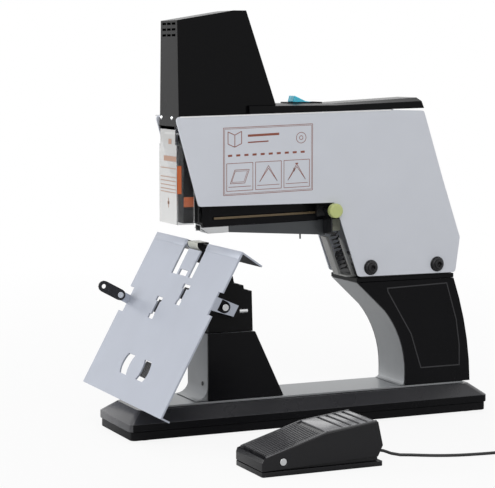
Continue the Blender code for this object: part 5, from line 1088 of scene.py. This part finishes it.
@dataclass
class ReturnSpring(Assembly):
    """The arm's return spring, a wound wire between its bracket and its seat."""

    foot_x: float = 0.2278
    foot_z: float = 0.1339
    seat_z: float = 0.1730
    lean: float = math.radians(18.7)
    radius: float = 0.0036
    wire: float = 0.0011
    gap: float = 0.0003
    turns: int = 9
    steps: int = 26
    roundness: int = 2

    def wound(self) -> list[Vector]:
        """Wind the wire turn by turn from its foot to its seat.

        Returns:
            The points of the wire.
        """
        margin = self.gap + self.wire / 2 + (self.radius + self.wire / 2) * math.sin(self.lean)
        bottom = self.foot_z + margin
        height = self.seat_z - margin - bottom
        count = self.turns * self.steps
        points = []
        for index in range(count + 1):
            share, turn = index / count, math.tau * index / self.steps
            across = self.radius * math.cos(turn)
            x = self.foot_x - math.tan(self.lean) * (margin + height * share) + across * math.cos(self.lean)
            z = bottom + height * share + across * math.sin(self.lean)
            points.append(Vector((x, self.radius * math.sin(turn), z)))
        return points

    def build(self) -> None:
        """Wind the spring between the machine and the arm as one fixed mesh."""
        holder = link("spring_holder", tube("return_spring_wire", self.wound(), self.wire,
                                             self.roundness))
        bpy.context.view_layer.update()
        mesh = bpy.data.meshes.new_from_object(holder)
        bpy.data.objects.remove(holder)
        for face in mesh.polygons:
            face.use_smooth = True
        mesh.materials.clear()
        mesh.materials.append(SPRING.material())
        piece = link("return_spring_wire", mesh)
        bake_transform(piece)
        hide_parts("return_spring")


@dataclass
class Pedal(Assembly):
    """Foot pedal: base, treadle with its grip, pin, switch and strain relief."""

    near: float = -0.2030
    far: float = -0.1500
    toe: Pair = (0.0521, 0.0144)
    brow: Pair = (0.1086, 0.0314)
    crest: Pair = (0.1541, 0.0369)
    fine_ribs: int = 12
    fine_span: Pair = (0.0565, 0.1040)
    fine_shares: Pair = (0.28, 0.40)
    rib_heights: Pair = (0.0010, 0.0004)
    rib_edge: float = 0.0003
    rim: float = 0.0022
    rim_inset: float = 0.0010
    rim_gap: float = 0.0012
    rim_span: Pair = (0.0545, 0.1535)
    rim_heights: Pair = (0.0011, 0.0006)
    rim_edge: float = 0.0005
    corner_radius: float = 0.0035
    corner_segments: int = 5
    corner_height: float = 0.0015
    corner_drift: float = 0.0001
    corner_slack: float = 0.0006
    grooves: tuple = (0.1064, 0.1234, 0.1312, 0.1386, 0.1462, 0.1528)
    groove_width: float = 0.0030
    wall_inset: Pair = (0.0030, 0.0042)
    wall_heights: Pair = (0.0042, 0.0112)
    wall_span: Triple = (0.0600, 0.1535, 0.1548)
    relief_length: float = 0.0180
    relief_radii: Triple = (0.0026, 0.0018, 0.0015)
    relief_grooves: int = 6
    relief_shares: Pair = (0.25, 0.12)
    relief_groove: tuple = ((0.0, 0.0), (0.0004, 0.0005), (0.0010, 0.0005), (0.0014, 0.0001))
    relief_place: Triple = (0.1447, -0.1765, 0.0076)
    relief_steps: int = 24

    def build(self) -> None:
        """Dress the pedal."""
        shop = self.shop
        shop.finished("pedal_base", PEDAL_GREY, Edge(0.0008, 3))
        self.treadle()
        shop.finish_all([("pedal_pin", STEEL, Edge(0.0004)), ("pedal_switch", OXIDE)])
        self.relief()
        self.grip()
        (outer, inner), (low, high), (front, back, end) = self.wall_inset, self.wall_heights, self.wall_span
        walls = [block((front, self.near + outer, low), (back, self.near + inner, high)),
                 block((front, self.far - inner, low), (back, self.far - outer, high)),
                 block((back, self.near + outer, low), (end, self.far - outer, high))]
        shop.place("pedal_inner_walls", merged(walls), PEDAL_GREY, shop.body_of["pedal_base"])

    def treadle(self) -> None:
        """Dress the treadle, with its upright front corners rounded."""
        shape, slack = self.shop.copy_of("pedal_treadle"), self.corner_slack
        near, far = (pick(vert.co.y for vert in shape.verts) for pick in (min, max))
        front = min(vert.co.x for vert in shape.verts)
        corners = []
        for side in shape.edges:
            start, end = (vert.co for vert in side.verts)
            upright = abs(start.z - end.z) > self.corner_height and abs(start.y - end.y) < self.corner_drift
            outer = max(start.y, end.y) < near + slack or min(start.y, end.y) > far - slack
            if upright and outer and max(start.x, end.x) < front + slack:
                corners.append(side)
        bevelled(shape, corners, self.corner_radius, self.corner_segments)
        log.info("treadle: %d corners rounded", len(corners))
        self.shop.stand_in("pedal_treadle", shape, PEDAL_GREY, Edge(0.0011, 3, math.radians(26)))

    def on_top(self, x: float) -> Pair:
        """Return the side view point of the treadle's top at a place along it."""
        start, end = (self.toe, self.brow) if x < self.brow[0] else (self.brow, self.crest)
        return (x, start[1] + (end[1] - start[1]) * (x - start[0]) / (end[0] - start[0]))

    def lay(self, name: str, bars: list[Shape], width: float, finish: Finish) -> None:
        """Lay bars with broken edges on the treadle."""
        self.shop.place(name, merged([broken(bar, width) for bar in bars]), finish, "treadle")

    def grip(self) -> None:
        """Lay the fine ribs, the cross ribs and the rim."""
        inner_near, inner_far = self.near + self.rim + self.rim_gap, self.far - self.rim - self.rim_gap
        pitch = (inner_far - inner_near) / self.fine_ribs
        start, end = (self.on_top(x) for x in self.fine_span)
        (offset, width), ribs = self.fine_shares, []
        for index in range(self.fine_ribs):
            low = inner_near + pitch * (index + offset)
            ribs.append(strip(start, end, low, low + pitch * width, *self.rib_heights))
        # The fine ribs take a lighter grey, a painted sheen.
        self.lay("treadle_fine_ribs", ribs, self.rib_edge, PEDAL_GRIP_SHEEN)
        half, bars = self.groove_width / 2, []
        for start, end in zip(self.grooves, self.grooves[1:]):
            low, high = self.on_top(max(start + half, self.brow[0])), self.on_top(end - half)
            bars.append(strip(low, high, inner_near, inner_far, *self.rib_heights))
        # The cross ribs take a light grey, a painted reflection.
        self.lay("treadle_cross_ribs", bars, self.rib_edge, PEDAL_BAND_REFLECTION)
        start, end = (self.on_top(x) for x in self.rim_span)
        rims = []
        for low in (self.near + self.rim_inset, self.far - self.rim_inset - self.rim):
            for a, b in ((start, self.brow), (self.brow, end)):
                rims.append(strip(a, b, low, low + self.rim, *self.rim_heights))
        # The rim takes the same lighter grey, a painted sheen.
        self.lay("treadle_rim", rims, self.rim_edge, PEDAL_GRIP_SHEEN)

    def relief(self) -> None:
        """Turn the tapered strain relief with its flexing grooves."""
        length, (thick, thin, bore) = self.relief_length, self.relief_radii
        profile = [(0.0, bore), (0.0, thick)]
        for index in range(self.relief_grooves):
            start = length * (self.relief_shares[0] + self.relief_shares[1] * index)
            radius = thick + (thin - thick) * start / length
            profile += [(start + along, radius - deep) for along, deep in self.relief_groove]
        profile += [(length, thin), (length, bore)]
        shape = turned(profile, self.relief_place, (1, 0, 0), self.relief_steps)
        piece = self.shop.place("strain_relief_ribbed", shape, RUBBER, self.shop.body_of["strain_relief"])
        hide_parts("strain_relief")


@dataclass
class Studio:
    """Pale floor, white surroundings and soft lamps."""

    floor_size: float = 12.0
    floor_level: float = -0.0002
    floor_shade: Triple = (0.80, 0.80, 0.80)
    floor_roughness: float = 0.9
    near_glow: float = 0.90
    clear_from: float = 0.30
    clear_at: float = 1.3
    world_light: float = 0.42
    aim: Triple = (0.0, 0.05, 0.15)
    lamps: tuple = (("key_lamp", (-0.9, -2.4, 1.7), 1.5, 24.0), ("side_lamp", (-2.2, 1.3, 0.9), 1.2, 30.0),
                    ("top_lamp", (0.3, 0.5, 2.6), 1.6, 12.0))

    def build(self) -> None:
        """Make the floor, the world and the lamps."""
        self.floor()
        self.world()
        for name, place, size, power in self.lamps:
            self.lamp(name, place, size, power)
        bpy.context.scene.view_settings.view_transform = "Standard"

    def combined(self, tree: Tree, operation: str, first: Socket, second: Socket) -> Socket:
        """Return the result of an operation on two sockets.

        Args:
            tree: node tree to add to.
            operation: the operation's name.
            first: its first value.
            second: its second value.

        Returns:
            The socket that carries the result.
        """
        made = add(tree, "Math", {0: first, 1: second})
        made.operation = operation
        return made.outputs["Value"]

    def floor(self) -> None:
        """Make the pale floor, which glows for the camera and fades into the white around it."""
        shape = bmesh.new()
        bmesh.ops.create_grid(shape, x_segments=1, y_segments=1, size=self.floor_size / 2)
        mesh = bpy.data.meshes.new("floor")
        shape.to_mesh(mesh)
        shape.free()
        made = bpy.data.materials.new("pale floor")
        made.use_nodes = True
        tree = made.node_tree
        shader = of_type(tree, "BSDF_PRINCIPLED")
        fill(tree, shader, {"Base Color": (*self.floor_shade, 1.0), "Roughness": self.floor_roughness,
                            "Specular IOR Level": 0.0})
        glow = add(tree, "Emission", {"Strength": 1.0})
        seen = add(tree, "LightPath", {}).outputs["Is Camera Ray"]
        share = self.combined(tree, "MULTIPLY", seen, self.fading(tree))
        mix = add(tree, "MixShader", {"Fac": share, 1: shader.outputs["BSDF"], 2: glow.outputs["Emission"]})
        fill(tree, of_type(tree, "OUTPUT_MATERIAL"), {"Surface": mix.outputs["Shader"]})
        mesh.materials.append(made)
        item = link("floor", mesh)
        item.location.z = self.floor_level

    def fading(self, tree: Tree) -> Socket:
        """Return the share of glow, which rises with the distance from the machine.

        Args:
            tree: node tree to add to.

        Returns:
            The socket that carries the share.
        """
        away = add(tree, "VectorMath", {0: add(tree, "TexCoord", {}).outputs["Object"]})
        away.operation = "LENGTH"
        return add(tree, "MapRange", {
            "Value": away.outputs["Value"], "From Min": self.clear_from, "From Max": self.clear_at,
            "To Min": self.near_glow, "To Max": 1.0}).outputs["Result"]

    def world(self) -> None:
        """Make white surroundings that light the object at a plain level."""
        world = bpy.data.worlds.new("surroundings")
        bpy.context.scene.world = world
        world.use_nodes = True
        tree = world.node_tree
        rays = add(tree, "LightPath", {}).outputs
        seen = self.combined(tree, "MAXIMUM", rays["Is Camera Ray"], rays["Is Transmission Ray"])
        either = self.combined(tree, "MAXIMUM", seen, rays["Is Glossy Ray"])
        level = add(tree, "MapRange", {"Value": either, "To Min": self.world_light, "To Max": 1.0})
        fill(tree, of_type(tree, "BACKGROUND"), {"Color": (*EVEN, 1.0), "Strength": level.outputs["Result"]})

    def lamp(self, name: str, place: Triple, size: float, power: float) -> None:
        """Hang one soft square lamp that looks at the machine.

        Args:
            name: the lamp's name.
            place: where it hangs, in world metres.
            size: its side.
            power: its power in watts.
        """
        data = bpy.data.lights.new(name, "AREA")
        data.size = size
        data.energy = power
        item = link(name, data)
        item.location = place
        item.rotation_euler = (Vector(self.aim) - Vector(place)).to_track_quat("-Z", "Y").to_euler()


def main() -> None:
    """Build the camera, the cord and then every sub-assembly in order."""
    logging.basicConfig(level=logging.INFO)
    shop = Shop()
    Viewpoint().build()
    for assembly in (PedalCord, Base, Stand, Table, Head, Diagram, Arm, ReturnSpring, Pedal):
        assembly(shop).build()
        log.info("dressed %s", assembly.__name__)
    Studio().build()


if __name__ == "__main__":
    main()
